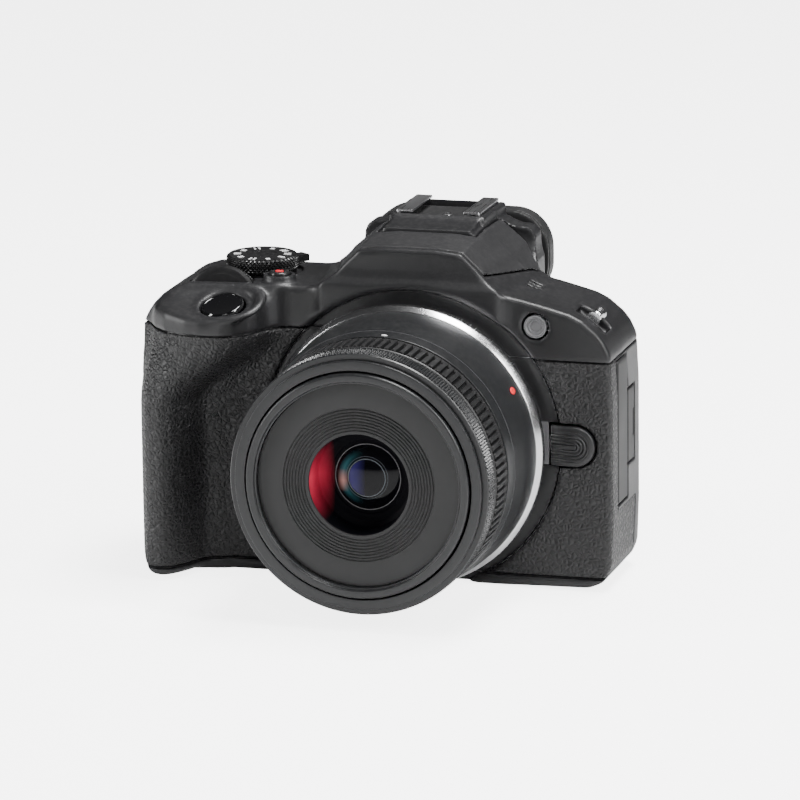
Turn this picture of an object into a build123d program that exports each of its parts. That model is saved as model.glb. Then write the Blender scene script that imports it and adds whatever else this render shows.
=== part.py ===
from build123d import *
from math import cos, radians, sin
import os

# A small interchangeable-lens camera with its standard zoom lens, as separate pieces.
# Millimetres.  X points right as the camera is seen from in front, Y points from the lens
# to the eyecup, Z points up.  The origin is the mouth of the tripod socket, on the base.

os.makedirs("parts", exist_ok=True)

# ---------------------------------------------------------------- driving sizes: the body
grip_side = 66.7            # from the lens axis to the outside of the grip
far_side = 49.6             # from the lens axis to the other end of the body
plate_height = 71.0         # top plate above the base
front_y = -15.0             # front face of the body
back_y = 16.0               # rear face of the body
wall = 2.2                  # moulded covers
skin = 0.8                  # leatherette glued on the covers
base_top = 2.6              # joint line between the bottom cover and the rest
seam_y = -9.2               # joint line between the front and rear covers
grip_seam = plate_height - 10.0  # top of the leatherette on the grip
far_seam = plate_height - 15.0  # top of the leatherette beside the lens
far_shoulder = 14.5         # height of the slope at the far end
grip_shoulder = 10.8        # height of the slope at the grip end
base_corner = 7.0           # rounding of the lower corners

# The grip: a narrow palm below, a wide finger shelf above
grip_front = -29.6          # foremost point of the grip
grip_waist = 44.0           # height where the palm starts to widen
palm_width = 19.7           # width of the palm at the front
shelf_width = 33.3          # width of the finger shelf
grip_round = 3.2            # rounding of the grip's upright edges
table_slope = 18.4          # slope of the shutter-button table, in degrees
table_y = -10.0             # where the table meets the top plate

# The viewfinder hump, its flash hood and the shoe
hump_top = plate_height + 12.4  # crown of the hump
hump_front_top = plate_height + 10.7  # crown at the front plate
hump_rear_top = plate_height + 11.6  # crown at the eyecup
hump_half = 24.5            # half width at the foot
hump_crown_half = 13.8      # half width of the crown
hump_crest_y = 7.0          # where the crown is highest
housing_y = 30.0            # rear face of the viewfinder housing
housing_half = 21.5         # half width of the housing behind the body
housing_floor = plate_height - 12.0  # underside of the housing
cheek = 1.6                 # thickness of the flash hood
hood_front = -12.9          # front edge of the flash hood
hood_back = 0.6             # rear edge of the band over the flash
hood_low_front = plate_height + 4.3  # lower edge of the hood at the front
hood_low_back = plate_height + 1.4  # lower edge of the hood at the hinge
flash_hinge_y = 14.0
flash_hinge_z = plate_height + 8.0
flash_round = 7.6           # radius of the arms' rear ends about the hinge
flash_tilt = 35.0           # travel of the hood, and slant of its window, in degrees
shoe_half = 10.4            # half width of the shoe rails
shoe_slot_half = 9.3        # half width of the slot for an accessory's foot
shoe_mouth_half = 6.3       # half gap between the rails' lips
shoe_front = 10.8
shoe_back = 29.3
shoe_top = plate_height + 14.5
shoe_lip = 0.8
shoe_slot = 2.0             # height of the slot
pedestal_half = 12.2        # fixed pedestal under the shoe
eyecup_back = 39.2
eyecup_half = 22.5
eyecup_mouth_half = 10.5
eyecup_mouth = 15.0

# The lens mount and the lens, all on the lens axis
lens_z = 34.8
flange_y = -18.0            # seat of the lens on the body
focal_plane = 2.0           # 20 mm behind the seat
mount_radius = 31.6
mount_bore = 25.6
bayonet_radius = 23.2
lug_angle = 50.0
lens_tube_radius = 22.9
lens_plate_radius = 33.0
ring_radius = 31.5          # both control rings, over their knurls
barrel_rear_radius = ring_radius + 3.0
barrel_neck_radius = ring_radius + 0.9
barrel_neck_y = -35.0
ring_wall = 1.9
zoom_ring_back = -43.2
zoom_ring_front = -53.2
control_ring_front = -60.0
ring_gap = 0.3
sleeve_wall = 1.1
lip_radius = ring_radius - 1.63  # fixed rim at the front of the lens
lip_front = -61.3
lens_front = -62.3          # front of the inner barrel
inner_radius = lip_radius - 2.82
inner_wall = 1.7
inner_back = -38.0
filter_radius = inner_radius - 2.55  # 49 mm filter thread
filter_depth = 1.9          # to the face of the name ring
bezel_hole = 12.2
element_radius = 13.0
focus_radius = 19.0
focus_back = -25.0
focus_length = 6.0

# Controls
button_gap = 0.3            # clearance round pressed and turned controls
swing_gap = 0.6             # clearance behind the flash hood, which swings back as it rises
fit_gap = 0.08              # radial clearance of pins and shafts
pin_radius = 1.2            # pins of the flash hood, the main dial and the dioptre knob
shutter_radius = 5.2
shutter_rim = 1.7
shutter_travel = 1.2
shutter_centre = Vector(22.2 - grip_side, -22.5, plate_height - 3.6)
shutter_normal = Vector(-0.12, -0.33, 0.93)
dial_radius = 9.0
dial_width = 5.0
dial_centre = Vector(19.2 - grip_side, -12.0, plate_height - 5.8)
dial_tilt = 20.0
mode_radius = 8.8
mode_height = 3.5
mode_x = -41.7
mode_y = 2.0
lever_ring = 9.6
lever_height = 1.0
lever_angle = 55.0          # where the lever's tab stands when off, from +X
dioptre_y = 24.0
dioptre_z = 64.0
movie_radius = 2.5
movie_x = -33.5
movie_y = -11.0
movie_pod = 2.0
release_half = 4.9
release_x = 40.5
release_z = 35.3
lamp_radius = 2.85
lamp_x = 30.8
lamp_z = 64.0

# The rear
screen_low = 5.0
screen_high = 54.2
screen_left = -29.0
screen_right = 43.2
screen_depth = 6.0
screen_edge = 2.2           # width of the frame round the glass
screen_lift = 0.4           # how far the frame stands proud of the back
glass_thick = 1.6
pad_x = -47.5
pad_z = 22.0
pad_radius = 8.0
set_radius = 3.4
rear_button_lift = 0.7      # how far the rear buttons stand out
rear_buttons = {
    "menu_button": (-38.5, 55.0, 2.4),
    "info_button": (-38.5, 46.0, 2.4),
    "play_button": (-41.0, 12.5, 2.4),
    "ae_lock_button": (-52.0, 56.5, 2.6),
    "af_point_button": (-60.5, 55.5, 2.6),
}

# Base, power and sockets
socket_radius = 3.2         # quarter-inch tripod thread
socket_depth = 5.5
socket_boss = 5.0
battery_x = -60.5
battery_size = (33.0, 14.0, 49.0)
battery_y = -12.3
card_size = (24.0, 2.1, 32.0)
door_left = -64.0
door_right = -27.2
door_front = -14.0
door_back = 8.0
door_thick = 1.8
door_axis_x = -25.9
door_axis_z = 1.2
cover_thick = 1.4
cover_low = 20.0
cover_high = 54.8
cover_split = 0.9

FAR = 200.0                 # longer than anything in the camera
lens_axis = Axis((0, 0, lens_z), (0, 1, 0))


# ---------------------------------------------------------------- small helpers
def at_y(y):
    """Sketch plane across the camera at y, seen from in front, with X right and Z up."""
    return Plane.XZ.offset(-y)


def at_x(x):
    """Sketch plane along the camera at x, with Y right and Z up."""
    return Plane.YZ.offset(x)


def block(low, high, mode=Mode.ADD):
    """A box between two corners, in the current part."""
    with Locations(low):
        Box(*(b - a for a, b in zip(low, high)), align=(Align.MIN,) * 3, mode=mode)


def rod(start, direction, radius, length, mode=Mode.ADD):
    """A round rod from a point along a direction, in the current part."""
    with Locations(Plane(origin=start, z_dir=direction)):
        Cylinder(radius, length, align=(Align.CENTER, Align.CENTER, Align.MIN), mode=mode)


def lens_ring(outer, inner, back, front):
    """A plain ring on the lens axis, from its back to its front."""
    with BuildPart(Plane(origin=(0, back, lens_z), z_dir=(0, -1, 0))) as ring:
        Cylinder(outer, back - front, align=(Align.CENTER, Align.CENTER, Align.MIN))
        if inner:
            Cylinder(inner, back - front, align=(Align.CENTER, Align.CENTER, Align.MIN),
                     mode=Mode.SUBTRACT)
    return ring.part


def turned(points):
    """A ring on the lens axis from an outline of (y, radius) points."""
    with BuildPart() as ring:
        with BuildSketch(Plane.YZ):
            with BuildLine():
                Polyline(*((y, lens_z + radius) for y, radius in points), close=True)
            make_face()
        revolve(axis=lens_axis)
    return ring.part


def sectors(outer, inner, back, front, start):
    """Three equal bayonet sectors on the lens axis; start is the first one's angle."""
    with BuildPart() as lugs:
        with BuildSketch(at_y(back)):
            with Locations((0, lens_z)):
                with PolarLocations(0, 3, start_angle=start):
                    Polygon((0, 0), (2 * outer, -2 * outer * sin(radians(lug_angle / 2))),
                            (2 * outer, 2 * outer * sin(radians(lug_angle / 2))), align=None)
        extrude(amount=back - front)
        add(lens_ring(outer, inner, back, front), mode=Mode.INTERSECT)
    return lugs.part


def save(piece, label):
    """Name a finished piece and write its file."""
    piece.label = label
    export_step(piece, f"parts/{label}.step")


# ---------------------------------------------------------------- the outer form
def front_outline(inset):
    """Body outline seen from in front, pulled in by inset."""
    with BuildSketch() as outline:
        with BuildLine():
            Polyline(
                (-grip_side, 0), (far_side, 0), (far_side, plate_height - far_shoulder),
                (far_side - 3.0, plate_height - 0.62 * far_shoulder),
                (far_side - 11.8, plate_height - 0.24 * far_shoulder),
                (far_side - 26.0, plate_height), (-grip_side + 12.7, plate_height),
                (-grip_side + 6.7, plate_height - 0.18 * grip_shoulder),
                (-grip_side + 2.7, plate_height - 0.58 * grip_shoulder),
                (-grip_side, plate_height - grip_shoulder), close=True)
        make_face()
        fillet(outline.vertices().group_by(Axis.Y)[0], base_corner)
        if inset:
            offset(amount=-inset, mode=Mode.REPLACE)
    return outline.sketch


def grip_outline(points, inset):
    """Plan outline of the grip, rounded at its outer corners and pulled in by inset."""
    with BuildSketch() as outline:
        with BuildLine():
            Polyline(*points, close=True)
        make_face()
        fillet([v for v in outline.vertices() if v.Y < front_y - 1], grip_round)
        if inset:
            offset(amount=-inset, kind=Kind.INTERSECTION, mode=Mode.REPLACE)
    return outline.sketch


palm_edge = -grip_side + palm_width
palm_points = [
    (-grip_side, 0), (-grip_side, grip_front + 9.6), (-grip_side + 3.7, grip_front + 1.1),
    (palm_edge - 10.5, grip_front + 0.1), (palm_edge - 7.0, grip_front + 5.6),
    (palm_edge - 4.0, front_y - 2.0), (palm_edge, front_y), (palm_edge, 0)]
shelf_edge = -grip_side + shelf_width
shelf_points = [
    (-grip_side, 0), (-grip_side, grip_front + 16.6), (-grip_side + 6.7, grip_front + 4.1),
    (shelf_edge - 16.6, grip_front), (shelf_edge - 7.6, grip_front + 0.3),
    (shelf_edge - 3.1, grip_front + 5.6), (shelf_edge, front_y), (shelf_edge, 0)]
table = Plane(origin=(0, table_y, plate_height), x_dir=(1, 0, 0),
              z_dir=(0, -sin(radians(table_slope)), cos(radians(table_slope))))


def grip_form(inset):
    """The grip: palm, finger shelf and the sloping table for the shutter button."""
    with BuildPart() as grip:
        with BuildSketch(Plane.XY.offset(inset)):
            add(grip_outline(palm_points, inset))
        extrude(amount=grip_waist - inset)
        with BuildSketch(Plane.XY.offset(grip_waist)):
            add(grip_outline(palm_points, inset))
        with BuildSketch(Plane.XY.offset(grip_seam)):
            add(grip_outline(shelf_points, inset))
        loft()
        with BuildSketch(Plane.XY.offset(grip_seam)):
            add(grip_outline(shelf_points, inset))
        extrude(amount=plate_height - inset - grip_seam)
        split(bisect_by=table.offset(-inset), keep=Keep.BOTTOM)
        with BuildSketch(at_y(0)):
            add(front_outline(inset))
        extrude(amount=-2 * grip_front, mode=Mode.INTERSECT)
    return grip.part


def hump_section(foot_half, crown_half, top, drop, inset):
    """Cross-section of the hump: a low roof on two sloping sides."""
    with BuildSketch() as section:
        with BuildLine():
            Polyline((-foot_half, plate_height - 3), (foot_half, plate_height - 3),
                     (foot_half, plate_height), (crown_half, top - drop), (0, top),
                     (-crown_half, top - drop), (-foot_half, plate_height), close=True)
        make_face()
        if inset:
            offset(amount=-inset, kind=Kind.INTERSECTION, mode=Mode.REPLACE)
    return section.sketch


def hump_form(inset):
    """The viewfinder hump, from the front plate to the eyecup."""
    with BuildPart() as hump:
        with BuildSketch(at_y(front_y + inset)):
            add(hump_section(hump_half - 2.0, hump_crown_half - 0.3, hump_front_top, 1.4, inset))
        with BuildSketch(at_y(hump_crest_y)):
            add(hump_section(hump_half, hump_crown_half, hump_top, 1.0, inset))
        with BuildSketch(at_y(housing_y - inset)):
            add(hump_section(housing_half + 1.0, hump_crown_half, hump_rear_top, 1.0, inset))
        loft(ruled=True)
    return hump.part


def body_form(inset):
    """Body and grip without the hump, pulled in by inset on every side."""
    with BuildPart() as form:
        with BuildSketch(at_y(back_y - inset)):
            add(front_outline(inset))
        extrude(amount=back_y - front_y - 2 * inset)
        add(grip_form(inset))
    return form.part


outer_form = body_form(0)
under_skin = body_form(skin)
inner_form = body_form(wall)
hump = hump_form(0)
hump_core = hump_form(cheek + button_gap)

with BuildPart() as whole_body:
    add(outer_form)
    add(hump)
    block((-housing_half, back_y - 1, housing_floor), (housing_half, housing_y, plate_height))

# ---------------------------------------------------------------- leatherette
mount_clear = barrel_rear_radius + 0.6
with BuildPart() as leather:
    add(outer_form)
    add(under_skin, mode=Mode.SUBTRACT)
    block((-FAR, -FAR, base_top + 0.6), (FAR, seam_y, grip_seam - 0.4), Mode.INTERSECT)
    rod((0, FAR, lens_z), (0, -1, 0), mount_clear, 2 * FAR, Mode.SUBTRACT)
    block((0, -FAR, far_seam - 0.4), (FAR, FAR, FAR), Mode.SUBTRACT)
    block((shelf_edge + 1.5, -FAR, -FAR), (mount_clear - 7, FAR, FAR), Mode.SUBTRACT)

release_slot = release_half + button_gap


def release_shape(half):
    """Outline of the lens release button: square towards the lens, round on the outside."""
    with BuildSketch() as shape:
        with Locations((release_x, release_z)):
            Rectangle(2 * half, 2 * half)
        fillet(shape.vertices().group_by(Axis.X)[-1], 0.9 * half)
        fillet(shape.vertices().group_by(Axis.X)[0], 0.15 * half)
    return shape.sketch


with BuildPart() as release_hole:
    with BuildSketch(at_y(front_y + 2 * wall)):
        add(release_shape(release_slot))
    extrude(amount=3 * wall)

with BuildPart() as grip_skin:
    add(leather.part)
    block((-FAR, -FAR, -FAR), (0, FAR, FAR), Mode.INTERSECT)
save(grip_skin.part, "grip_skin")

with BuildPart() as front_skin:
    add(leather.part)
    block((0, -FAR, -FAR), (FAR, FAR, FAR), Mode.INTERSECT)
    add(release_hole.part, mode=Mode.SUBTRACT)
save(front_skin.part, "front_skin")

# ---------------------------------------------------------------- front cover
with BuildPart() as front_cover:
    add(outer_form)
    block((-FAR, -FAR, base_top), (FAR, seam_y, grip_seam), Mode.INTERSECT)
    block((0, -FAR, far_seam), (FAR, FAR, FAR), Mode.SUBTRACT)
    add(inner_form, mode=Mode.SUBTRACT)
    add(leather.part, mode=Mode.SUBTRACT)
    add(release_hole.part, mode=Mode.SUBTRACT)
    rod((0, 0, lens_z), (0, -1, 0), mount_radius + fit_gap, FAR, Mode.SUBTRACT)
save(front_cover.part, "front_cover")

# ---------------------------------------------------------------- rear cover
tray_floor = back_y - screen_depth - button_gap
tray_wall = 1.5
screen_low_wall = screen_low - button_gap
screen_high_wall = screen_high + button_gap
with BuildPart() as terminal_block:
    block((far_side - 7.1, seam_y, cover_low - 1.5), (far_side, tray_floor - tray_wall, cover_high + 1.0))
    block((far_side - cover_thick, seam_y + 0.2, cover_low - button_gap),
          (FAR, cover_split, cover_high + button_gap), Mode.SUBTRACT)
    block((far_side - cover_thick, cover_split - 0.1, cover_low + 7.7),
          (FAR, tray_floor - tray_wall - 0.5, cover_high - 8.5), Mode.SUBTRACT)
    block((far_side - 6.1, seam_y + 1.8, cover_low + 2.0), (FAR, cover_split - 0.5, cover_high - 1.8),
          Mode.SUBTRACT)
    block((far_side - 6.1, cover_split + 1.0, cover_low + 10.0),
          (FAR, tray_floor - tray_wall - 1.6, cover_high - 10.8), Mode.SUBTRACT)
with BuildPart() as terminal_space:
    block((far_side - 7.1, seam_y, cover_low - 1.5), (FAR, tray_floor - tray_wall, cover_high + 1.0))

with BuildPart() as tray:
    add(outer_form)
    block((screen_left - button_gap - tray_wall, tray_floor - tray_wall, screen_low_wall - tray_wall),
          (screen_right + button_gap + tray_wall, FAR, screen_high_wall + tray_wall), Mode.INTERSECT)

with BuildPart() as rear_cover:
    add(outer_form)
    add(inner_form, mode=Mode.SUBTRACT)
    add(terminal_space.part, mode=Mode.SUBTRACT)
    add(tray.part)
    block((screen_left - button_gap, tray_floor, screen_low_wall),
          (screen_right + button_gap, FAR, screen_high_wall), Mode.SUBTRACT)
    block((-FAR, seam_y, base_top), (FAR, FAR, grip_seam), Mode.INTERSECT)
    block((0, -FAR, far_seam), (FAR, FAR, FAR), Mode.SUBTRACT)
    block((-housing_half - 0.2, back_y - wall - 1, housing_floor - 0.2), (FAR, FAR, FAR), Mode.SUBTRACT)
    add(terminal_block.part)
    for x, z, radius in rear_buttons.values():
        rod((x, 0, z), (0, 1, 0), radius + button_gap, FAR, Mode.SUBTRACT)
    rod((pad_x, 0, pad_z), (0, 1, 0), pad_radius + 2 * button_gap, FAR, Mode.SUBTRACT)
save(rear_cover.part, "rear_cover")

# ---------------------------------------------------------------- bottom cover and base
screw_head = 0.9
screw_places = [(-12, 5), (14, -10), (14, 6), (far_side - 12, 7), (far_side - 12, -9)]
with BuildPart() as bottom_cover:
    add(outer_form)
    add(inner_form, mode=Mode.SUBTRACT)
    block((-FAR, -FAR, 0), (FAR, FAR, base_top), Mode.INTERSECT)
    block((door_left - button_gap, door_front - button_gap, -1),
          (door_axis_x + 1.8, door_back + button_gap, base_top + 1), Mode.SUBTRACT)
    # lugs for the door's hinge pins
    for y in (door_front + 2.0, door_back - 3.7):
        block((door_axis_x - 1.0, y, 0.3), (door_axis_x + 1.9, y + 1.7, base_top))
    rod((door_axis_x, -FAR, door_axis_z), (0, 1, 0), 0.6 + fit_gap, 2 * FAR, Mode.SUBTRACT)
    rod((0, 0, -1), (0, 0, 1), socket_boss + fit_gap, 10, Mode.SUBTRACT)
    for x, y in screw_places:
        rod((x, y, -1), (0, 0, 1), 1.5, 1 + screw_head, Mode.SUBTRACT)
        rod((x, y, -1), (0, 0, 1), 0.7 + fit_gap, 10, Mode.SUBTRACT)
save(bottom_cover.part, "bottom_cover")

with BuildPart() as body_screws:
    for x, y in screw_places:
        rod((x, y, 0.1), (0, 0, 1), 1.4, screw_head - 0.1)
        rod((x, y, screw_head), (0, 0, 1), 0.7, 3.2)
save(body_screws.part, "body_screws")

with BuildPart() as tripod_socket:
    Cylinder(socket_boss, socket_depth + 1.5, align=(Align.CENTER, Align.CENTER, Align.MIN))
    rod((0, 0, -1), (0, 0, 1), socket_radius, socket_depth + 1, Mode.SUBTRACT)
save(tripod_socket.part, "tripod_socket")

# ---------------------------------------------------------------- chassis and electronics
chassis_front = front_y + wall
chassis_back = chassis_front + 1.6
arm_half = 20.1
with BuildPart() as chassis:
    block((-27.2, chassis_front, base_top), (33.5, chassis_back, 60.0))
    block((-27.0, chassis_front, base_top), (far_side - 9.0, tray_floor - tray_wall - 0.5, base_top + 2.0))
    for x in (-arm_half - 1.9, arm_half):
        block((x, chassis_front, 12.0), (x + 1.9, focal_plane + 2.2, 56.0))
    rod((0, 0, lens_z), (0, -1, 0), 20.5, FAR, Mode.SUBTRACT)
    rod((29.0, 0, lens_z), (0, -1, 0), 1.2 + 2 * fit_gap, FAR, Mode.SUBTRACT)
    rod((0, 0, 0), (0, 0, 1), socket_boss + fit_gap, 10, Mode.SUBTRACT)
    for x, y in screw_places:
        rod((x, y, 0), (0, 0, 1), 0.7 + fit_gap, 10, Mode.SUBTRACT)
save(chassis.part, "chassis")

with BuildPart() as shutter_unit:
    block((-arm_half, -4.0, lens_z - 16), (arm_half, -1.0, lens_z + 16))
    block((-12.0, -5.0, lens_z - 8.5), (12.0, 0.0, lens_z + 8.5), Mode.SUBTRACT)
save(shutter_unit.part, "shutter_unit")

with BuildPart() as image_sensor:
    block((-14, focal_plane, lens_z - 11), (14, focal_plane + 1.0, lens_z + 11))
    block((-arm_half, focal_plane + 1.0, lens_z - 15), (arm_half, focal_plane + 2.2, lens_z + 15))
save(image_sensor.part, "image_sensor")

with BuildPart() as main_board:
    block((-26.0, focal_plane + 2.2, 7.0), (38.0, focal_plane + 3.8, 58.0))
save(main_board.part, "main_board")

with BuildPart() as mount_ring:
    add(lens_ring(mount_radius, mount_bore, chassis_front, flange_y))
    add(sectors(mount_bore + 0.5, bayonet_radius, flange_y + 1.4, flange_y, 0))
    rod((29.0, 0, lens_z), (0, -1, 0), 1.2 + fit_gap, FAR, Mode.SUBTRACT)
save(mount_ring.part, "mount_ring")

with BuildPart() as mount_contacts:
    block((-11, chassis_back, lens_z - 20.3), (11, chassis_back + 2.0, lens_z - 16.8))
save(mount_contacts.part, "mount_contacts")

with BuildPart() as battery:
    block((battery_x, battery_y, door_thick + 0.5),
          (battery_x + battery_size[0], battery_y + battery_size[1], door_thick + 0.5 + battery_size[2]))
    fillet(battery.edges().filter_by(Axis.Z), 1.5)
save(battery.part, "battery")

card_y = battery_y + battery_size[1] + 1.5
with BuildPart() as memory_card:
    block((battery_x + 2.5, card_y, door_thick + 0.5),
          (battery_x + 2.5 + card_size[0], card_y + card_size[1], door_thick + 0.5 + card_size[2]))
    chamfer(memory_card.edges().filter_by(Axis.Y).group_by(Axis.Z)[-1].sort_by(Axis.X)[-1], 2.5)
save(memory_card.part, "memory_card")

with BuildPart() as battery_door:
    add(outer_form)
    block((door_left, door_front, 0), (door_right, door_back, door_thick), Mode.INTERSECT)
    block((door_right - 0.2, door_front + 4.0, 0.6), (door_axis_x, door_back - 4.0, door_thick))
    rod((door_axis_x, door_front + 4.0, door_axis_z), (0, 1, 0), 0.9, door_back - door_front - 8.0)
    rod((door_axis_x, door_front + 2.0, door_axis_z), (0, 1, 0), 0.6, door_back - door_front - 4.0)
    block((door_left + 5.0, -6.5, -1), (door_left + 14.0, 0.5, 0.9), Mode.SUBTRACT)
save(battery_door.part, "battery_door")

with BuildPart() as battery_latch:
    block((door_left + 7.6, -6.2, 0.1), (door_left + 13.7, 0.2, 0.9))
save(battery_latch.part, "battery_latch")

with BuildPart() as thumb_rest:
    with BuildSketch(at_y(back_y + 1.6)):
        with Locations((-56.5, 41.5)):
            RectangleRounded(13.0, 17.0, 4.0)
    extrude(amount=1.6)
    fillet(thumb_rest.faces().sort_by(Axis.Y)[-1].edges(), 0.7)
save(thumb_rest.part, "thumb_rest")

# ---------------------------------------------------------------- top cover
def hood_zone(gap, centre_half):
    """Room that the flash hood takes: a band across the front and an arm down each side."""
    with BuildPart() as zone:
        with BuildSketch(at_x(-FAR)):
            with BuildLine():
                Polyline((hood_front - gap, hood_low_front - gap), (flash_hinge_y - 4.0, hood_low_back - gap),
                         (flash_hinge_y, flash_hinge_z - flash_round - gap), (flash_hinge_y, FAR),
                         (hood_front - gap, FAR), close=True)
            make_face()
            with Locations((flash_hinge_y, flash_hinge_z)):
                Circle(flash_round + gap)
        extrude(amount=2 * FAR)
        block((-centre_half, hood_back + gap, 0), (centre_half, FAR, FAR), Mode.SUBTRACT)
    return zone.part


with BuildPart() as hood_room:
    add(hood_zone(button_gap, pedestal_half))
    add(hump_core, mode=Mode.SUBTRACT)
dial_axis = Vector(0, -cos(radians(dial_tilt)), sin(radians(dial_tilt)))
table_normal = shutter_normal.normalized()
eye_half = eyecup_mouth_half - 1.5

eye_low = 64.0
eye_high = 77.0
head_half = 12.0
window_slant = Vector(0, sin(radians(flash_tilt)), -cos(radians(flash_tilt)))
window_top = Vector(0, hood_front, hood_low_front + 5.2)
window_foot = window_top + window_slant * 6.1
well_floor = shoe_top - shoe_lip - shoe_slot - 2.1
strap_places = [(43.8, -6.0, 65.6, 38.0), (-62.6, 4.0, 66.3, -47.0)]
lever_floor = plate_height - lever_height - 0.1
dial_side = dial_axis * (dial_width / 2)

with BuildPart() as dial_pod:
    rod(dial_centre - dial_side - dial_axis * 1.8, dial_axis, dial_radius + 1.6, dial_width + 3.6)
    add(inner_form, mode=Mode.INTERSECT)

with BuildPart() as strap_bosses:
    for x, y, z, lean in strap_places:
        with Locations(Location((x, y, z), (0, lean, 0))):
            Box(11.0, 6.8, 8.4)
    add(inner_form, mode=Mode.INTERSECT)

with BuildPart() as top_cover:
    add(whole_body)
    block((-FAR, -FAR, -FAR), (0, back_y - wall, grip_seam), Mode.SUBTRACT)
    block((-FAR, back_y - wall, -FAR), (-housing_half, FAR, grip_seam), Mode.SUBTRACT)
    block((-housing_half, back_y - wall, -FAR), (0, FAR, housing_floor), Mode.SUBTRACT)
    block((0, -FAR, -FAR), (FAR, FAR, far_seam), Mode.SUBTRACT)
    add(inner_form, mode=Mode.SUBTRACT)
    add(dial_pod.part)
    add(strap_bosses.part)
    # apron that rises to the shoe
    with BuildSketch(at_x(-shoe_half - 0.5)):
        with BuildLine():
            Polyline((hood_back + swing_gap, hump_rear_top - 2), (hood_back + swing_gap, hump_top - 0.4),
                     (shoe_front - 0.1, shoe_top - 1.2), (shoe_front - 0.1, hump_rear_top - 2), close=True)
        make_face()
    extrude(amount=2 * shoe_half + 1.0)
    # flash hood, its hinge pins and its head
    add(hood_room.part, mode=Mode.SUBTRACT)
    block((-head_half - 0.6, hood_front - button_gap, hood_low_front - 0.6),
          (head_half + 0.6, hood_back + swing_gap, FAR), Mode.SUBTRACT)
    for side in (-1, 1):
        rod((side * pedestal_half, flash_hinge_y, flash_hinge_z), (side, 0, 0), flash_round + button_gap,
            hump_half - pedestal_half, Mode.SUBTRACT)
    rod((-FAR, flash_hinge_y, flash_hinge_z), (1, 0, 0), pin_radius + fit_gap, 2 * FAR, Mode.SUBTRACT)
    # viewfinder tunnel and shoe well
    block((-eye_half, 3.0, eye_low), (eye_half, FAR, eye_high), Mode.SUBTRACT)
    block((-shoe_half, shoe_front, well_floor), (shoe_half, shoe_back, FAR), Mode.SUBTRACT)
    # lens mount, focus-assist lamp, strap pockets, microphone slots
    rod((0, 0, lens_z), (0, -1, 0), mount_radius + fit_gap, FAR, Mode.SUBTRACT)
    rod((lamp_x, 0, lamp_z), (0, -1, 0), lamp_radius + fit_gap, FAR, Mode.SUBTRACT)
    for x, y, z, lean in strap_places:
        with Locations(Location((x, y, z), (0, lean, 0))):
            Box(8.0, 4.4, 6.4, mode=Mode.SUBTRACT)
    for y in (-1.0, 1.0, 3.0):
        block((24.9, y - 0.4, plate_height - 1.6), (28.7, y + 0.4, FAR), Mode.SUBTRACT)
    # shutter button in its rim
    rod(shutter_centre - table_normal * 3.4, table_normal, shutter_radius + shutter_rim, 3.0)
    rod(shutter_centre - table_normal * 8, table_normal, shutter_radius + button_gap, FAR, Mode.SUBTRACT)
    # main dial
    rod(dial_centre - dial_side - dial_axis * button_gap, dial_axis, dial_radius + button_gap,
        dial_width + 2 * button_gap, Mode.SUBTRACT)
    rod(dial_centre - dial_axis * 4.2, dial_axis, pin_radius + fit_gap, 8.4, Mode.SUBTRACT)
    # mode dial, power lever and movie button
    rod((mode_x, mode_y, lever_floor), (0, 0, 1), lever_ring + button_gap, FAR, Mode.SUBTRACT)
    rod((mode_x, mode_y, 0), (0, 0, 1), 2.5 + fit_gap, FAR, Mode.SUBTRACT)
    rod((movie_x, movie_y, plate_height - 1), (0, 0, 1), movie_radius + 1.1, movie_pod + 1)
    rod((movie_x, movie_y, 0), (0, 0, 1), movie_radius + button_gap, FAR, Mode.SUBTRACT)
    # dioptre knob's bore
    rod((-FAR, dioptre_y, dioptre_z), (1, 0, 0), pin_radius + fit_gap, FAR - 16.0, Mode.SUBTRACT)
save(top_cover.part, "top_cover")

with BuildPart() as strap_lugs:
    for x, y, z, lean in strap_places:
        down = Vector(-sin(radians(lean)), 0, -cos(radians(lean)))
        rod(Vector(x, y - 2.2, z) + down * 1.1, (0, 1, 0), 0.9, 4.4)
save(strap_lugs.part, "strap_lugs")

with BuildPart() as af_lamp_window:
    rod((lamp_x, front_y + wall, lamp_z), (0, -1, 0), lamp_radius, wall + 0.1)
save(af_lamp_window.part, "af_lamp_window")

# ---------------------------------------------------------------- shoe, viewfinder and flash
with BuildPart() as hot_shoe_rails:
    block((-shoe_half, shoe_front, well_floor), (shoe_half, shoe_back, well_floor + 0.6))
    for side in (-1, 1):
        wall_x = sorted((side * shoe_slot_half, side * shoe_half))
        lip_x = sorted((side * shoe_mouth_half, side * shoe_half))
        block((wall_x[0], shoe_front, well_floor), (wall_x[1], shoe_back, shoe_top))
        block((lip_x[0], shoe_front, shoe_top - shoe_lip), (lip_x[1], shoe_back, shoe_top))
save(hot_shoe_rails.part, "hot_shoe_rails")

with BuildPart() as hot_shoe_base:
    block((-shoe_slot_half, shoe_front, well_floor + 0.6),
          (shoe_slot_half, shoe_back, shoe_top - shoe_lip - shoe_slot))
save(hot_shoe_base.part, "hot_shoe_base")

with BuildPart() as evf_display:
    block((-eye_half, 3.0, eye_low), (eye_half, 5.4, eye_high))
save(evf_display.part, "evf_display")

with BuildPart() as eyepiece_lens:
    block((-eye_half, housing_y - 3.4, eye_low), (eye_half, housing_y - 0.6, eye_high))
    fillet(eyepiece_lens.faces().sort_by(Axis.Y)[-1].edges(), 1.0)
save(eyepiece_lens.part, "eyepiece_lens")

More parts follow.
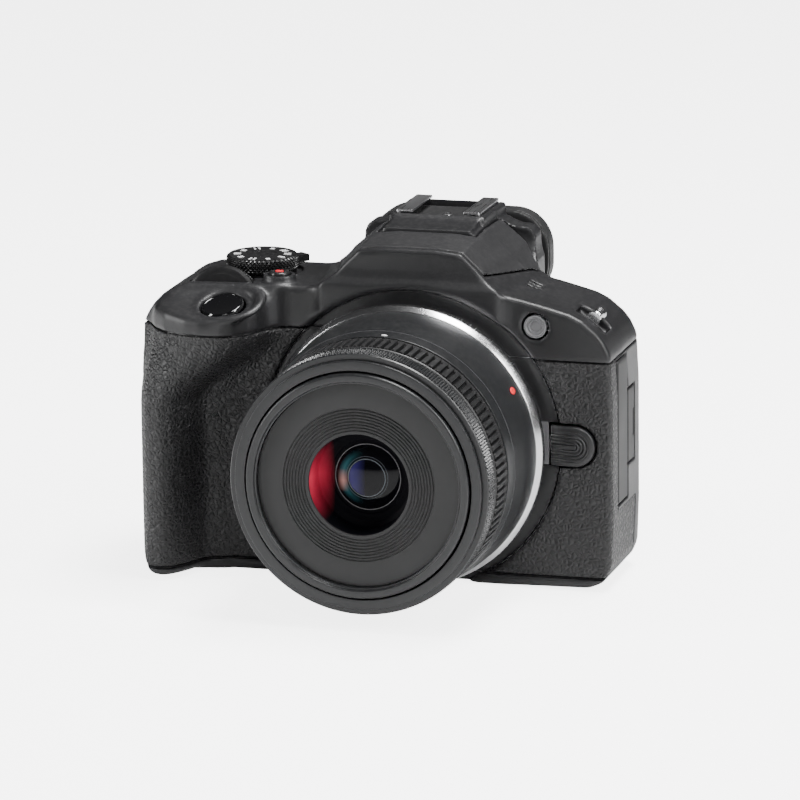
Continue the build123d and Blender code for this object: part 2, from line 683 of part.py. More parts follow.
eyecup_mid = (housing_floor + hump_rear_top) / 2 + 0.3
with BuildPart() as eyecup:
    with BuildSketch(at_y(eyecup_back)):
        with Locations((0, eyecup_mid)):
            RectangleRounded(2 * eyecup_half, hump_rear_top - housing_floor - 0.8, 6.0)
            RectangleRounded(2 * eyecup_mouth_half, eyecup_mouth, 3.5, mode=Mode.SUBTRACT)
    extrude(amount=eyecup_back - housing_y)
    fillet(eyecup.faces().sort_by(Axis.Y)[-1].edges(), 1.4)
save(eyecup.part, "eyecup")

with BuildPart() as flash_head:
    with BuildSketch(at_x(-head_half)):
        with BuildLine():
            Polyline((hood_front, hump_top), (window_top.Y, window_top.Z), (window_foot.Y, window_foot.Z),
                     (hood_back - 2.6, window_foot.Z), (hood_back - 1.6, hump_top), close=True)
        make_face()
    extrude(amount=2 * head_half)
    add(hump_form(cheek / 2), mode=Mode.INTERSECT)

window_in = Vector(0, cos(radians(flash_tilt)), sin(radians(flash_tilt)))
with BuildPart() as flash_window:
    with BuildSketch(at_x(-head_half + 1.5)):
        corners = (window_top + window_slant * 0.5, window_foot - window_slant * 0.5)
        inner = (corners[1] + window_in, corners[0] + window_in)
        with BuildLine():
            Polyline(*((corner.Y, corner.Z) for corner in (*corners, *inner)), close=True)
        make_face()
    extrude(amount=2 * head_half - 3.0)
save(flash_window.part, "flash_window")

with BuildPart() as flash_hood:
    add(hump)
    add(hood_zone(0, pedestal_half + button_gap), mode=Mode.INTERSECT)
    add(hump_form(cheek), mode=Mode.SUBTRACT)
    add(flash_head.part)
    add(flash_window.part, mode=Mode.SUBTRACT)
    for side in (-1, 1):
        rod((side * 10.4, flash_hinge_y, flash_hinge_z), (side, 0, 0), pin_radius, 5.2)
save(flash_hood.part, "flash_hood")

with BuildPart() as dioptre_knob:
    rod((-housing_half - button_gap, dioptre_y, dioptre_z), (-1, 0, 0), 3.4, 1.9)
    rod((-housing_half - button_gap, dioptre_y, dioptre_z), (1, 0, 0), pin_radius, 4.5)
save(dioptre_knob.part, "dioptre_knob")

# ---------------------------------------------------------------- controls on top and in front
with BuildPart() as shutter_button:
    rod(shutter_centre - table_normal * 2.2, table_normal, shutter_radius, 2.2)
    fillet(shutter_button.faces().sort_by(Axis((0, 0, 0), tuple(table_normal)))[-1].edges(), 0.6)
    rod(shutter_centre - table_normal * 5.0, table_normal, 1.5, 3.0)
save(shutter_button.part, "shutter_button")

with BuildPart() as main_dial:
    rod(dial_centre - dial_side, dial_axis, dial_radius, dial_width)
    chamfer(main_dial.edges().filter_by(GeomType.CIRCLE), 0.6)
    rod(dial_centre - dial_axis * 4.1, dial_axis, pin_radius, 8.2)
save(main_dial.part, "main_dial")

with BuildPart() as mode_dial:
    rod((mode_x, mode_y, plate_height + button_gap), (0, 0, 1), mode_radius, mode_height)
    chamfer(mode_dial.faces().sort_by(Axis.Z)[-1].edges(), 0.4)
    rod((mode_x, mode_y, plate_height - wall - 1.5), (0, 0, 1), 2.5, wall + 2.0)
save(mode_dial.part, "mode_dial")

with BuildPart() as power_lever:
    rod((mode_x, mode_y, lever_floor), (0, 0, 1), lever_ring - 1.3, lever_height)
    rod((mode_x, mode_y, 0), (0, 0, 1), 2.5 + button_gap, FAR, Mode.SUBTRACT)
    with Locations(Location((mode_x, mode_y, 0), (0, 0, lever_angle))):
        block((lever_ring - 2.0, -1.6, lever_floor), (lever_ring, 1.6, lever_floor + lever_height))
        block((mode_radius + button_gap, -1.6, lever_floor + lever_height - 0.3),
              (lever_ring, 1.6, plate_height + 0.4))
        block((mode_radius + button_gap, -1.6, plate_height + 0.3),
              (mode_radius + 4.4, 1.6, plate_height + 2.0))
save(power_lever.part, "power_lever")

with BuildPart() as movie_button:
    rod((movie_x, movie_y, plate_height - wall), (0, 0, 1), movie_radius, wall + movie_pod + 0.8)
    fillet(movie_button.faces().sort_by(Axis.Z)[-1].edges(), 0.5)
save(movie_button.part, "movie_button")

lock_x = 29.0
with BuildPart() as release_button:
    with BuildSketch(at_y(front_y + 1.4)):
        add(release_shape(release_half))
    extrude(amount=2.6)
    rod((release_x, chassis_back, lens_z), (0, -1, 0), 1.2, 2.6)
save(release_button.part, "release_button")

with BuildPart() as lens_lock_pin:
    rod((lock_x, chassis_back + 0.5, lens_z), (0, -1, 0), 1.2, chassis_back + 0.5 - flange_y + 1.4)
    block((lock_x - 1.2, chassis_back + 0.3, lens_z - 1.8), (release_x + 1.0, chassis_back + 1.3, lens_z + 1.8))
save(lens_lock_pin.part, "lens_lock_pin")

# ---------------------------------------------------------------- rear controls and screen
button_foot = back_y - wall - 0.6
for name, (x, z, radius) in rear_buttons.items():
    with BuildPart() as rear_button:
        rod((x, button_foot, z), (0, 1, 0), radius, back_y + rear_button_lift - button_foot)
        fillet(rear_button.faces().sort_by(Axis.Y)[-1].edges(), 0.3)
    save(rear_button.part, name)

with BuildPart() as set_button:
    rod((pad_x, button_foot - 0.8, pad_z), (0, 1, 0), set_radius, back_y + 1.2 - button_foot + 0.8)
save(set_button.part, "set_button")

with BuildPart() as cross_pad:
    rod((pad_x, button_foot, pad_z), (0, 1, 0), pad_radius, back_y + 1.0 - button_foot)
    fillet(cross_pad.faces().sort_by(Axis.Y)[-1].edges(), 0.5)
    rod((pad_x, 0, pad_z), (0, 1, 0), set_radius + 0.9, FAR, Mode.SUBTRACT)
save(cross_pad.part, "cross_pad")

with BuildPart() as pad_carrier:
    rod((pad_x, button_foot - 1.6, pad_z), (0, 1, 0), pad_radius - 1.0, 1.0)
    rod((pad_x, 0, pad_z), (0, 1, 0), set_radius + 0.9, FAR, Mode.SUBTRACT)
save(pad_carrier.part, "pad_carrier")

glass_low = (screen_left + screen_edge, screen_low + screen_edge)
glass_high = (screen_right - screen_edge, screen_high - screen_edge)
with BuildPart() as screen_frame:
    block((screen_left, tray_floor, screen_low), (screen_right, back_y + screen_lift, screen_high))
    fillet(screen_frame.edges().filter_by(Axis.Y), 2.0)
    block((glass_low[0], 0, glass_low[1]), (glass_high[0], FAR, glass_high[1]), Mode.SUBTRACT)
save(screen_frame.part, "screen_frame")

with BuildPart() as screen_glass:
    block((glass_low[0], back_y - glass_thick, glass_low[1]), (glass_high[0], back_y, glass_high[1]))
save(screen_glass.part, "screen_glass")

with BuildPart() as display_panel:
    block((glass_low[0], tray_floor, glass_low[1]), (glass_high[0], back_y - glass_thick, glass_high[1]))
save(display_panel.part, "display_panel")

# ---------------------------------------------------------------- sockets and their covers
socket_x = far_side - 6.1
with BuildPart() as terminal_sockets:
    for z in (cover_low + 6.5, cover_high - 6.5):
        rod((socket_x, -3.5, z), (1, 0, 0), 2.9, 3.2)
        rod((socket_x + 0.6, -3.5, z), (1, 0, 0), 1.75, 3.2, Mode.SUBTRACT)
    block((socket_x, -5.2, 33.0), (socket_x + 3.2, -1.8, 42.0))
    block((socket_x + 0.6, -4.4, 33.8), (socket_x + 4.0, -2.6, 41.2), Mode.SUBTRACT)
    block((socket_x, 2.5, 33.4), (socket_x + 3.2, 5.7, 40.6))
    block((socket_x + 0.6, 3.1, 34.0), (socket_x + 4.0, 5.1, 40.0), Mode.SUBTRACT)
save(terminal_sockets.part, "terminal_sockets")

with BuildPart() as terminal_cover_front:
    block((far_side - cover_thick, seam_y + 0.7, cover_low), (far_side, cover_split - button_gap, cover_high))
save(terminal_cover_front.part, "terminal_cover_front")

with BuildPart() as terminal_cover_rear:
    block((far_side - cover_thick, cover_split + button_gap, cover_low + 8.0),
          (far_side, tray_floor - tray_wall - 0.9, cover_high - 8.8))
save(terminal_cover_rear.part, "terminal_cover_rear")

# ---------------------------------------------------------------- lens
lock_hole = 1.4 + 2 * fit_gap
plate_front = flange_y - 2.5
with BuildPart() as lens_mount:
    add(lens_ring(lens_plate_radius, lens_tube_radius - 2.9, flange_y, plate_front))
    add(lens_ring(lens_tube_radius, lens_tube_radius - 2.9, chassis_front - 0.4, flange_y))
    add(sectors(mount_bore - 0.4, lens_tube_radius - 0.4, flange_y + 3.0, flange_y + 1.7, 0))
    rod((lock_x, flange_y + 1, lens_z), (0, -1, 0), lock_hole, 2.9, Mode.SUBTRACT)
save(lens_mount.part, "lens_mount")

sleeve = ring_radius - ring_wall - ring_gap
lip_bore = inner_radius + ring_gap
rear_barrel = turned([
    (plate_front, lip_bore + 0.2), (plate_front, barrel_rear_radius - 1.1),
    (plate_front - 1.1, barrel_rear_radius), (plate_front - 1.6, barrel_rear_radius),
    (plate_front - 2.8, barrel_rear_radius - 1.2), (barrel_neck_y, barrel_neck_radius),
    (zoom_ring_back + ring_gap, ring_radius + 0.1), (zoom_ring_back + ring_gap, sleeve),
    (control_ring_front - ring_gap, sleeve), (control_ring_front - ring_gap, lip_radius),
    (lip_front, lip_radius), (lip_front, lip_bore), (lip_front + 1.8, lip_bore),
    (lip_front + 1.8, sleeve - sleeve_wall), (plate_front - 3.0, sleeve - sleeve_wall),
    (plate_front - 3.0, lip_bore + 0.2)])
save(rear_barrel, "rear_barrel")

zoom_ring = lens_ring(ring_radius, ring_radius - ring_wall, zoom_ring_back, zoom_ring_front)
save(zoom_ring, "zoom_ring")
control_ring = lens_ring(ring_radius, ring_radius - ring_wall, zoom_ring_front - ring_gap, control_ring_front)
save(control_ring, "control_ring")

bezel_radius = inner_radius - inner_wall
save(lens_ring(inner_radius, bezel_radius, inner_back, lens_front), "inner_barrel")

bezel_face = lens_front + filter_depth
bezel_back = bezel_face + 8.0
save(turned([
    (lens_front, bezel_radius), (lens_front, filter_radius), (bezel_face, filter_radius),
    (bezel_face, bezel_hole), (bezel_back, bezel_hole - 1.2),
    (bezel_back, bezel_radius)]), "name_ring")

with BuildPart() as front_element:
    with BuildSketch(Plane.YZ):
        with BuildLine():
            Polyline((bezel_back, lens_z + bezel_hole - 1.4), (bezel_back, lens_z + element_radius),
                     (bezel_back + 4.0, lens_z + element_radius), (bezel_back + 4.0, lens_z),
                     (bezel_back - 1.8, lens_z))
            ThreePointArc((bezel_back - 1.8, lens_z), (bezel_back - 1.35, lens_z + bezel_hole / 2),
                          (bezel_back, lens_z + bezel_hole - 1.4))
        make_face()
    revolve(axis=lens_axis)
save(front_element.part, "front_element")

rod_x = 16.0
with BuildPart() as focus_group:
    add(turned([(focus_back, 0), (focus_back, focus_radius), (focus_back - focus_length, focus_radius),
                (focus_back - focus_length, 10.0), (focus_back - focus_length + 2.0, 10.0),
                (focus_back - focus_length + 2.0, 0)]))
    for x in (-rod_x, rod_x):
        rod((x, 0, lens_z), (0, -1, 0), 0.8 + fit_gap, FAR, Mode.SUBTRACT)
save(focus_group.part, "focus_group")

with BuildPart() as focus_rods:
    for x in (-rod_x, rod_x):
        rod((x, plate_front, lens_z), (0, -1, 0), 0.8, 14.0)
save(focus_rods.part, "focus_rods")

save(lens_ring(lens_tube_radius - 2.95, 0, chassis_front - 1.4, plate_front), "rear_element")
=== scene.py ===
"""A small interchangeable-lens camera with its zoom lens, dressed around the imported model.

The covers are level surfaces of distance fields, the lens and the dials are turned surfaces,
and every finish is a node material.  Sizes are in millimetres until a mesh is written.
"""

import logging
import math
from dataclasses import dataclass, field
from enum import Enum
from typing import Callable, Optional, Sequence

import bmesh
import bpy
import numpy as np
import openvdb
from mathutils import Matrix, Vector


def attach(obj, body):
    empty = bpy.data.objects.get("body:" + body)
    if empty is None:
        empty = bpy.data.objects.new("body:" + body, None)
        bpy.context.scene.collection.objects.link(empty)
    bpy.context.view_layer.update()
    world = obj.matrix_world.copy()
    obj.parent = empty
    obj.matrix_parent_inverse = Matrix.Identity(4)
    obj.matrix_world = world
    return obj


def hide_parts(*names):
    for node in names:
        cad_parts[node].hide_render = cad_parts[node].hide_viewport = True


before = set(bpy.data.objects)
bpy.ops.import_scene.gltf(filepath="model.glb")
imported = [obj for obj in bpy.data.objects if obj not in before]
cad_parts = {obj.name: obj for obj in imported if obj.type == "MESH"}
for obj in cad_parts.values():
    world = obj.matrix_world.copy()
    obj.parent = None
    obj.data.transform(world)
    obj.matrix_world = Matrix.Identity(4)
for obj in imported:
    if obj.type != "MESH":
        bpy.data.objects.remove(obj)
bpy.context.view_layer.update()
MM = 0.001
LENS_Z = 34.8               # height of the lens axis
FRONT_Y = -15.0             # front face of the body
BACK_Y = 16.0               # rear face of the body
LEFT_X = -66.7              # outside of the grip
RIGHT_X = 49.6              # outside of the other end
TOP_Z = 71.0                # top plate
SEAM_Y = -9.2               # joint between the front and rear covers
BASE_TOP = 2.6              # joint above the bottom cover
GRIP_SEAM = 61.0            # top of the leatherette on the grip
FAR_SEAM = 56.0             # top of the leatherette beside the lens
HINGE = (14.0, 79.0)        # flash hinge, y and z
SHUTTER = np.array((-44.5, -22.5, 67.4))
SHUTTER_UP = np.array((-0.12, -0.33, 0.93)) / np.linalg.norm((-0.12, -0.33, 0.93))
DIAL = np.array((-47.5, -12.0, 65.2))  # centre of the main dial
DIAL_AXIS = np.array((0.0, -math.cos(math.radians(20.0)), math.sin(math.radians(20.0))))
MODE = (-41.7, 2.0)         # centre of the mode dial, x and y
MOVIE = (-33.5, -11.0)      # centre of the movie button, x and y
LAMP = (30.8, 64.0)         # focus-assist lamp, x and z
RELEASE = (40.5, 35.3, 4.9)  # lens release button: x, z and half width
# strap pockets: x, y, z and lean in degrees
STRAPS = ((43.8, -6.0, 65.6, 38.0), (-62.6, 4.0, 66.3, -47.0))
# rear buttons: x, z and radius
REAR_BUTTONS = {"menu_button": (-38.5, 55.0, 2.4), "info_button": (-38.5, 46.0, 2.4),
                "play_button": (-41.0, 12.5, 2.4), "ae_lock_button": (-52.0, 56.5, 2.6),
                "af_point_button": (-60.5, 55.5, 2.6)}
PAD = (-47.5, 22.0, 8.0)    # cross pad: x, z and radius
SCREEN = (-29.0, 43.2, 5.0, 54.2)  # left, right, low and high edges of the screen
BATTERY_DOOR = (-64.0, -27.2, -14.0, 8.0)  # left, right, front and rear edges
CREASE = 38.0               # angle past which an edge stays sharp, in degrees
MERGE_DISTANCE = 1e-7       # points nearer than this are one, in metres
AXIS_RADIUS = 1e-6          # a turned outline nearer the axis than this is on it
LENS_BASE = (0.0, 0.0, LENS_Z)  # where the lens axis starts
ALONG_Y = (0.0, 1.0, 0.0)
UPRIGHT = (0.0, 0.0, 1.0)
SEAM_GAP = 0.08             # half of the joints between covers
log = logging.getLogger("camera")
Array = np.ndarray


# ================================================================ meshes
def write_mesh(name: str, points: Array, quads: Array, tris: Optional[Array] = None,
               crease: float = CREASE) -> bpy.types.Object:
    """Put whole arrays of points and faces into a mesh object at the origin.

    The signed volume, a sum of corner triple products, tells whether the faces look outwards;
    they are all turned round if it is negative.

    Args:
        name: Name of the piece.
        points: Rows of x, y, z in millimetres.
        quads: Rows of four point numbers.
        tris: Rows of three point numbers.
        crease: Angle in degrees past which an edge stays sharp.

    Returns:
        The new object, in the scene.
    """
    quads = np.asarray(quads, np.int32).reshape(-1, 4)
    tris = np.zeros((0, 3), np.int32) if tris is None else np.asarray(tris, np.int32).reshape(-1, 3)
    every = np.concatenate([quads[:, [0, 1, 2]], quads[:, [0, 2, 3]], tris])
    a, b, c = (points[every[:, i]] for i in range(3))
    if np.einsum("ij,ij->i", a, np.cross(b, c)).sum() < 0:
        quads, tris = quads[:, ::-1], tris[:, ::-1]
    mesh = bpy.data.meshes.new(name)
    mesh.vertices.add(len(points))
    mesh.vertices.foreach_set("co", (points * MM).astype(np.float32).ravel())
    mesh.loops.add(quads.size + tris.size)
    mesh.loops.foreach_set("vertex_index",
                           np.concatenate([quads.ravel(), tris.ravel()]).astype(np.int32))
    mesh.polygons.add(len(quads) + len(tris))
    starts = np.concatenate([np.arange(len(quads)) * 4, quads.size + np.arange(len(tris)) * 3])
    mesh.polygons.foreach_set("loop_start", starts.astype(np.int32))
    mesh.polygons.foreach_set("use_smooth", np.ones(len(starts), bool))
    mesh.update(calc_edges=True)
    mesh.validate()
    mesh.set_sharp_from_angle(angle=math.radians(crease))
    piece = bpy.data.objects.new(name, mesh)
    bpy.context.scene.collection.objects.link(piece)
    return piece


def sheet_quads(rows: int, columns: int, close_rows: bool, close_columns: bool) -> Array:
    """Faces of a grid of rows by columns points, joined end to start where asked.

    Args:
        rows: Points along the first parameter.
        columns: Points along the second parameter.
        close_rows: Whether the last row meets the first.
        close_columns: Whether the last column meets the first.

    Returns:
        Rows of four point numbers.
    """
    i = np.arange(rows if close_rows else rows - 1)[:, None]
    j = np.arange(columns if close_columns else columns - 1)[None, :]
    i2, j2 = (i + 1) % rows, (j + 1) % columns
    corners = [i * columns + j, i2 * columns + j, i2 * columns + j2, i * columns + j2]
    return np.stack([np.broadcast_to(c, (i.size, j.size)) for c in corners], -1).reshape(-1, 4)


def rounded(corners: Sequence[tuple[float, float, float]], steps: int = 4) -> Array:
    """A closed outline whose corners are rounded.

    Each corner gives way to a curve that leaves one side a set length before the corner and
    meets the next side as far past it: (1-t)^2 P + 2t(1-t) C + t^2 Q.

    Args:
        corners: The two coordinates of each corner and its set-back length.
        steps: Pieces in each curve.

    Returns:
        Rows of two coordinates.
    """
    points = np.array([c[:2] for c in corners], float)
    out = []
    for k, (here, size) in enumerate(zip(points, (c[2] for c in corners))):
        if size <= 0:
            out.append(here[None])
            continue
        before, after = points[k - 1] - here, points[(k + 1) % len(points)] - here
        back = here + before / np.linalg.norm(before) * min(size, np.linalg.norm(before) * 0.49)
        ahead = here + after / np.linalg.norm(after) * min(size, np.linalg.norm(after) * 0.49)
        t = np.linspace(0, 1, steps + 1)[:, None]
        out.append((1 - t) ** 2 * back + 2 * t * (1 - t) * here + t ** 2 * ahead)
    return np.concatenate(out)


def basis(axis: Array) -> tuple[Array, Array]:
    """Two unit directions square to an axis, the second as near to +Z as it can be.

    Args:
        axis: Direction of the axis.

    Returns:
        Two directions square to the axis and to each other.
    """
    side = np.cross(axis, (0.0, 0.0, 1.0))
    if np.linalg.norm(side) < 1e-6:
        side = np.array((1.0, 0.0, 0.0))
    side = side / np.linalg.norm(side)
    return side, np.cross(side, axis)


def turned(name: str, profile: Array, origin: Sequence[float], axis: Sequence[float],
           steps: int = 160, relief: Optional[Callable[[Array, Array], Array]] = None,
           crease: float = CREASE) -> bpy.types.Object:
    """A closed outline turned about an axis.

    Point (s, a) lies at origin + along(s) axis + (radius(s) + relief(along, a)) (cos a, sin a).
    An outline that starts and ends on the axis is closed by its end points alone.

    Args:
        name: Name of the piece.
        profile: Rows of distance along the axis and radius.
        origin: A point on the axis.
        axis: Direction of the axis.
        steps: Points round the axis.
        relief: Height of ribs or knurls for arrays of distance and angle.
        crease: Angle in degrees past which an edge stays sharp.

    Returns:
        The new object.
    """
    axis = np.asarray(axis, float) / np.linalg.norm(axis)
    side, up = basis(axis)
    profile = np.asarray(profile, float)
    on_axis = profile[:, 1] < AXIS_RADIUS
    angle = np.arange(steps) * (2 * math.pi / steps)
    along, a = np.meshgrid(profile[:, 0], angle, indexing="ij")
    radius = np.repeat(profile[:, 1:2], steps, axis=1)
    if relief is not None:
        radius = radius + relief(along, a) * (radius > 0)
    points = (np.asarray(origin, float) + along[..., None] * axis
              + radius[..., None] * (np.cos(a)[..., None] * side + np.sin(a)[..., None] * up))
    quads = sheet_quads(len(profile), steps, not on_axis.any(), True)
    piece = write_mesh(name, points.reshape(-1, 3), quads, crease=crease)
    if on_axis.any():
        merge(piece)
    return piece


def merge(piece: bpy.types.Object) -> None:
    """Merge points that lie on each other, which closes the poles.

    Args:
        piece: The piece.
    """
    work = bmesh.new()
    work.from_mesh(piece.data)
    bmesh.ops.remove_doubles(work, verts=work.verts, dist=MERGE_DISTANCE)
    work.to_mesh(piece.data)
    work.free()
    piece.data.set_sharp_from_angle(angle=math.radians(CREASE))


def knurl(count: int, pitch: float, depth: float) -> Callable[[Array, Array], Array]:
    """Diamond knurling: small pyramids where two sets of slanting grooves cross.

    With u and v the two slanting counts, the height is minus depth times the larger of how far
    u and v are from the middle of their cell.

    Args:
        count: Pyramids round the ring.
        pitch: Length of a pyramid along the axis, in millimetres.
        depth: Depth of the grooves, in millimetres.

    Returns:
        A relief for turned().
    """
    def relief(along: Array, a: Array) -> Array:
        """Height of the knurl at a distance along the axis and an angle.

        Args:
            along: Distance along the axis.
            a: Angle round it.

        Returns:
            The height.
        """
        turn, climb = a * count / (2 * math.pi), along / pitch
        u = np.abs((turn + climb) % 1.0 - 0.5) * 2
        v = np.abs((turn - climb) % 1.0 - 0.5) * 2
        return -depth * np.clip(np.maximum(u, v) * 1.25 - 0.25, 0, 1)
    return relief


def ribs(count: int, width: float, depth: float) -> Callable[[Array, Array], Array]:
    """Straight raised bars along the axis: a rounded square wave of the angle.

    Args:
        count: Bars round the ring.
        width: Share of each step that the bar takes.
        depth: Depth of the grooves, in millimetres.

    Returns:
        A relief for turned().
    """
    def relief(_: Array, a: Array) -> Array:
        """Height of the bars at an angle, whatever the distance along the axis."""
        phase = np.abs((a * count / (2 * math.pi)) % 1.0 - 0.5) * 2
        return -depth * np.clip((phase - width) / 0.16 + 0.5, 0, 1)
    return relief


# ================================================================ distance fields
def within(relief: Callable[[Array, Array], Array], low: float,
           high: float) -> Callable[[Array, Array], Array]:
    """The relief between two places along the axis, and nothing beyond them.

    Args:
        relief: Height at a distance along the axis and an angle.
        low: Lower end.
        high: Upper end.

    Returns:
        The cut-off relief.
    """
    def masked(along: Array, a: Array) -> Array:
        """The relief at a distance along the axis and an angle."""
        return relief(along, a) * ((along > low) & (along < high))
    return masked


def capped(start: float, corners: Sequence[tuple[float, float, float]], end: float) -> Array:
    """A rounded outline closed on the axis at both ends."""
    return np.concatenate([[[start, 0.0]], rounded(corners), [[end, 0.0]]])


def soft_min(a: Array, b: Array, k: float) -> Array:
    """The smaller of two fields, rounded where they are within k of each other."""
    h = np.clip(k - np.abs(a - b), 0, None) / k
    return np.minimum(a, b) - h * h * (k / 4)


def soft_max(a: Array, b: Array, k: float) -> Array:
    """The larger of two fields, rounded where they are within k of each other."""
    h = np.clip(k - np.abs(a - b), 0, None) / k
    return np.maximum(a, b) + h * h * (k / 4)


def polygon(u: Array, v: Array, corners: Sequence[tuple]) -> Array:
    """Signed distance to a closed polygon, negative inside.

    It is the least distance to any side, and its sign comes from how many sides the point
    passes.  A corner's coordinates may themselves be arrays, so the outline may change along
    the third axis.

    Args:
        u: First coordinate.
        v: Second coordinate.
        corners: Two coordinates of each corner.

    Returns:
        The distance at every point.
    """
    best, inside = None, None
    for k, (au, av) in enumerate(corners):
        bu, bv = corners[(k + 1) % len(corners)]
        eu, ev = bu - au, bv - av
        wu, wv = u - au, v - av
        t = np.clip((wu * eu + wv * ev) / (eu * eu + ev * ev), 0, 1)
        d = (wu - eu * t) ** 2 + (wv - ev * t) ** 2
        above, below = wv >= 0, v < bv
        left = eu * wv > ev * wu
        flip = (above & below & left) | (~above & ~below & ~left)
        best = d if best is None else np.minimum(best, d)
        inside = flip if inside is None else inside ^ flip
    return np.where(inside, -1, 1).astype(np.float32) * np.sqrt(best).astype(np.float32)


def inset(corners: Sequence[tuple[float, float]], amount: float) -> list[tuple[float, float]]:
    """Corners of a polygon moved in by an amount: each is where its two moved sides cross.

    Args:
        corners: Corners in order.
        amount: How far each edge moves inwards.

    Returns:
        The smaller outline.
    """
    p = np.array(corners, float)
    area = np.sum(p[:, 0] * np.roll(p[:, 1], -1) - np.roll(p[:, 0], -1) * p[:, 1])
    e = np.roll(p, -1, 0) - p
    n = np.stack([-e[:, 1], e[:, 0]], 1) / np.linalg.norm(e, axis=1)[:, None] * np.sign(area)
    n0 = np.roll(n, 1, 0)
    shift = (n0 + n) / (1 + np.sum(n0 * n, 1))[:, None]
    return [tuple(row) for row in (p + shift * amount).astype(np.float32)]


def cut_corners(corners: Sequence[tuple]) -> list[tuple]:
    """The outline with each corner replaced by two points, a fifth of the way along its edges.

    Args:
        corners: Corners in order.

    Returns:
        The outline with twice as many corners.
    """
    out = []
    for here, ahead in zip(corners, list(corners[1:]) + [corners[0]]):
        out.append(tuple(0.8 * a + 0.2 * b for a, b in zip(here, ahead)))
        out.append(tuple(0.2 * a + 0.8 * b for a, b in zip(here, ahead)))
    return out


def box(x: Array, y: Array, z: Array, low: Sequence[float], high: Sequence[float],
        edge: float = 0.0) -> Array:
    """Distance to a box with rounded edges, from its middle and half sizes.

    Args:
        x, y, z: Place, in millimetres.
        low: Lowest corner.
        high: Highest corner.
        edge: Rounding of the edges.

    Returns:
        Signed distance, below zero inside.
    """
    parts = []
    for value, a, b in zip((x, y, z), low, high):
        parts.append(np.abs(value - (a + b) / 2) - ((b - a) / 2 - edge))
    out = sum(np.maximum(p, 0) ** 2 for p in parts) ** 0.5
    return out + np.minimum(np.maximum(np.maximum(parts[0], parts[1]), parts[2]), 0) - edge


def cylinder(x: Array, y: Array, z: Array, origin: Sequence[float], axis: Sequence[float],
             radius: float, low: float, high: float) -> Array:
    """Distance to a round bar between two distances along an axis.

    Args:
        x, y, z: Place, in millimetres.
        origin: A point on the axis.
        axis: Direction of the axis.
        radius: Radius.
        low: Lower end.
        high: Upper end.

    Returns:
        Signed distance, below zero inside.
    """
    dx, dy, dz = x - origin[0], y - origin[1], z - origin[2]
    along = dx * axis[0] + dy * axis[1] + dz * axis[2]
    out = np.sqrt(np.maximum(dx * dx + dy * dy + dz * dz - along * along, 0)) - radius
    return np.maximum(out, np.maximum(low - along, along - high))


def cell_noise(points: Array, size: float, seed: int) -> Array:
    """Difference of the distances to the two nearest scattered seeds: zero along cell borders.

    One seed lies in each cube of the given size, at a place hashed from the cube's number.

    Args:
        points: Rows of x, y, z.
        size: Size of a cell.
        seed: Number that the places are hashed with.

    Returns:
        The difference for each row, in cells.
    """
    q = points / size
    base = np.floor(q).astype(np.int64)
    near = np.full(len(q), 9.0, np.float32)
    second = near.copy()
    for i in (-1, 0, 1):
        for j in (-1, 0, 1):
            for k in (-1, 0, 1):
                cell = base + (i, j, k)
                h = (cell[:, 0] * 73856093) ^ (cell[:, 1] * 19349663) ^ (cell[:,
                        2] * 83492791) ^ seed
                place = np.stack([((h * m) >> 7 & 1023) / 1023.0 for m in (2654435761, 2246822519,
                        3266489917)], 1)
                d = np.linalg.norm(cell + place - q, axis=1).astype(np.float32)
                second = np.where(d < near, near, np.minimum(second, d))
                near = np.minimum(near, d)
    return second - near


@dataclass
class Lattice:
    """A regular grid of sample points round one piece.

    Attributes:
        low: Lowest corner.
        high: Highest corner.
        step: Spacing.
    """

    low: tuple[float, float, float]
    high: tuple[float, float, float]
    step: float

    def axes(self) -> tuple[Array, Array, Array]:
        """The three coordinates, shaped to combine into one block.

        Returns:
            X, Y and Z, shaped to combine.
        """
        lines = [np.arange(a, b + self.step, self.step, dtype=np.float32) for a,
                 b in zip(self.low, self.high)]
        return lines[0][:, None, None], lines[1][None, :, None], lines[2][None, None, :]

    def surface(self, name: str, values: Array, adapt: float = 0.0,
                crease: float = CREASE) -> bpy.types.Object:
        """The level surface of a field, as a closed mesh.

        Args:
            name: Name of the piece.
            values: The field on this grid, negative inside.
            adapt: How freely flat stretches are merged, from 0.
            crease: Angle in degrees past which an edge stays sharp.

        Returns:
            The new object.
        """
        grid = openvdb.FloatGrid(background=3.0)
        grid.copyFromArray(np.ascontiguousarray(np.clip(values / self.step, -3, 3), np.float32))
        points, tris, quads = grid.convertToPolygons(0.0, adapt)
        points = points.astype(float) * self.step + self.low
        return write_mesh(name, points, quads, tris, crease)


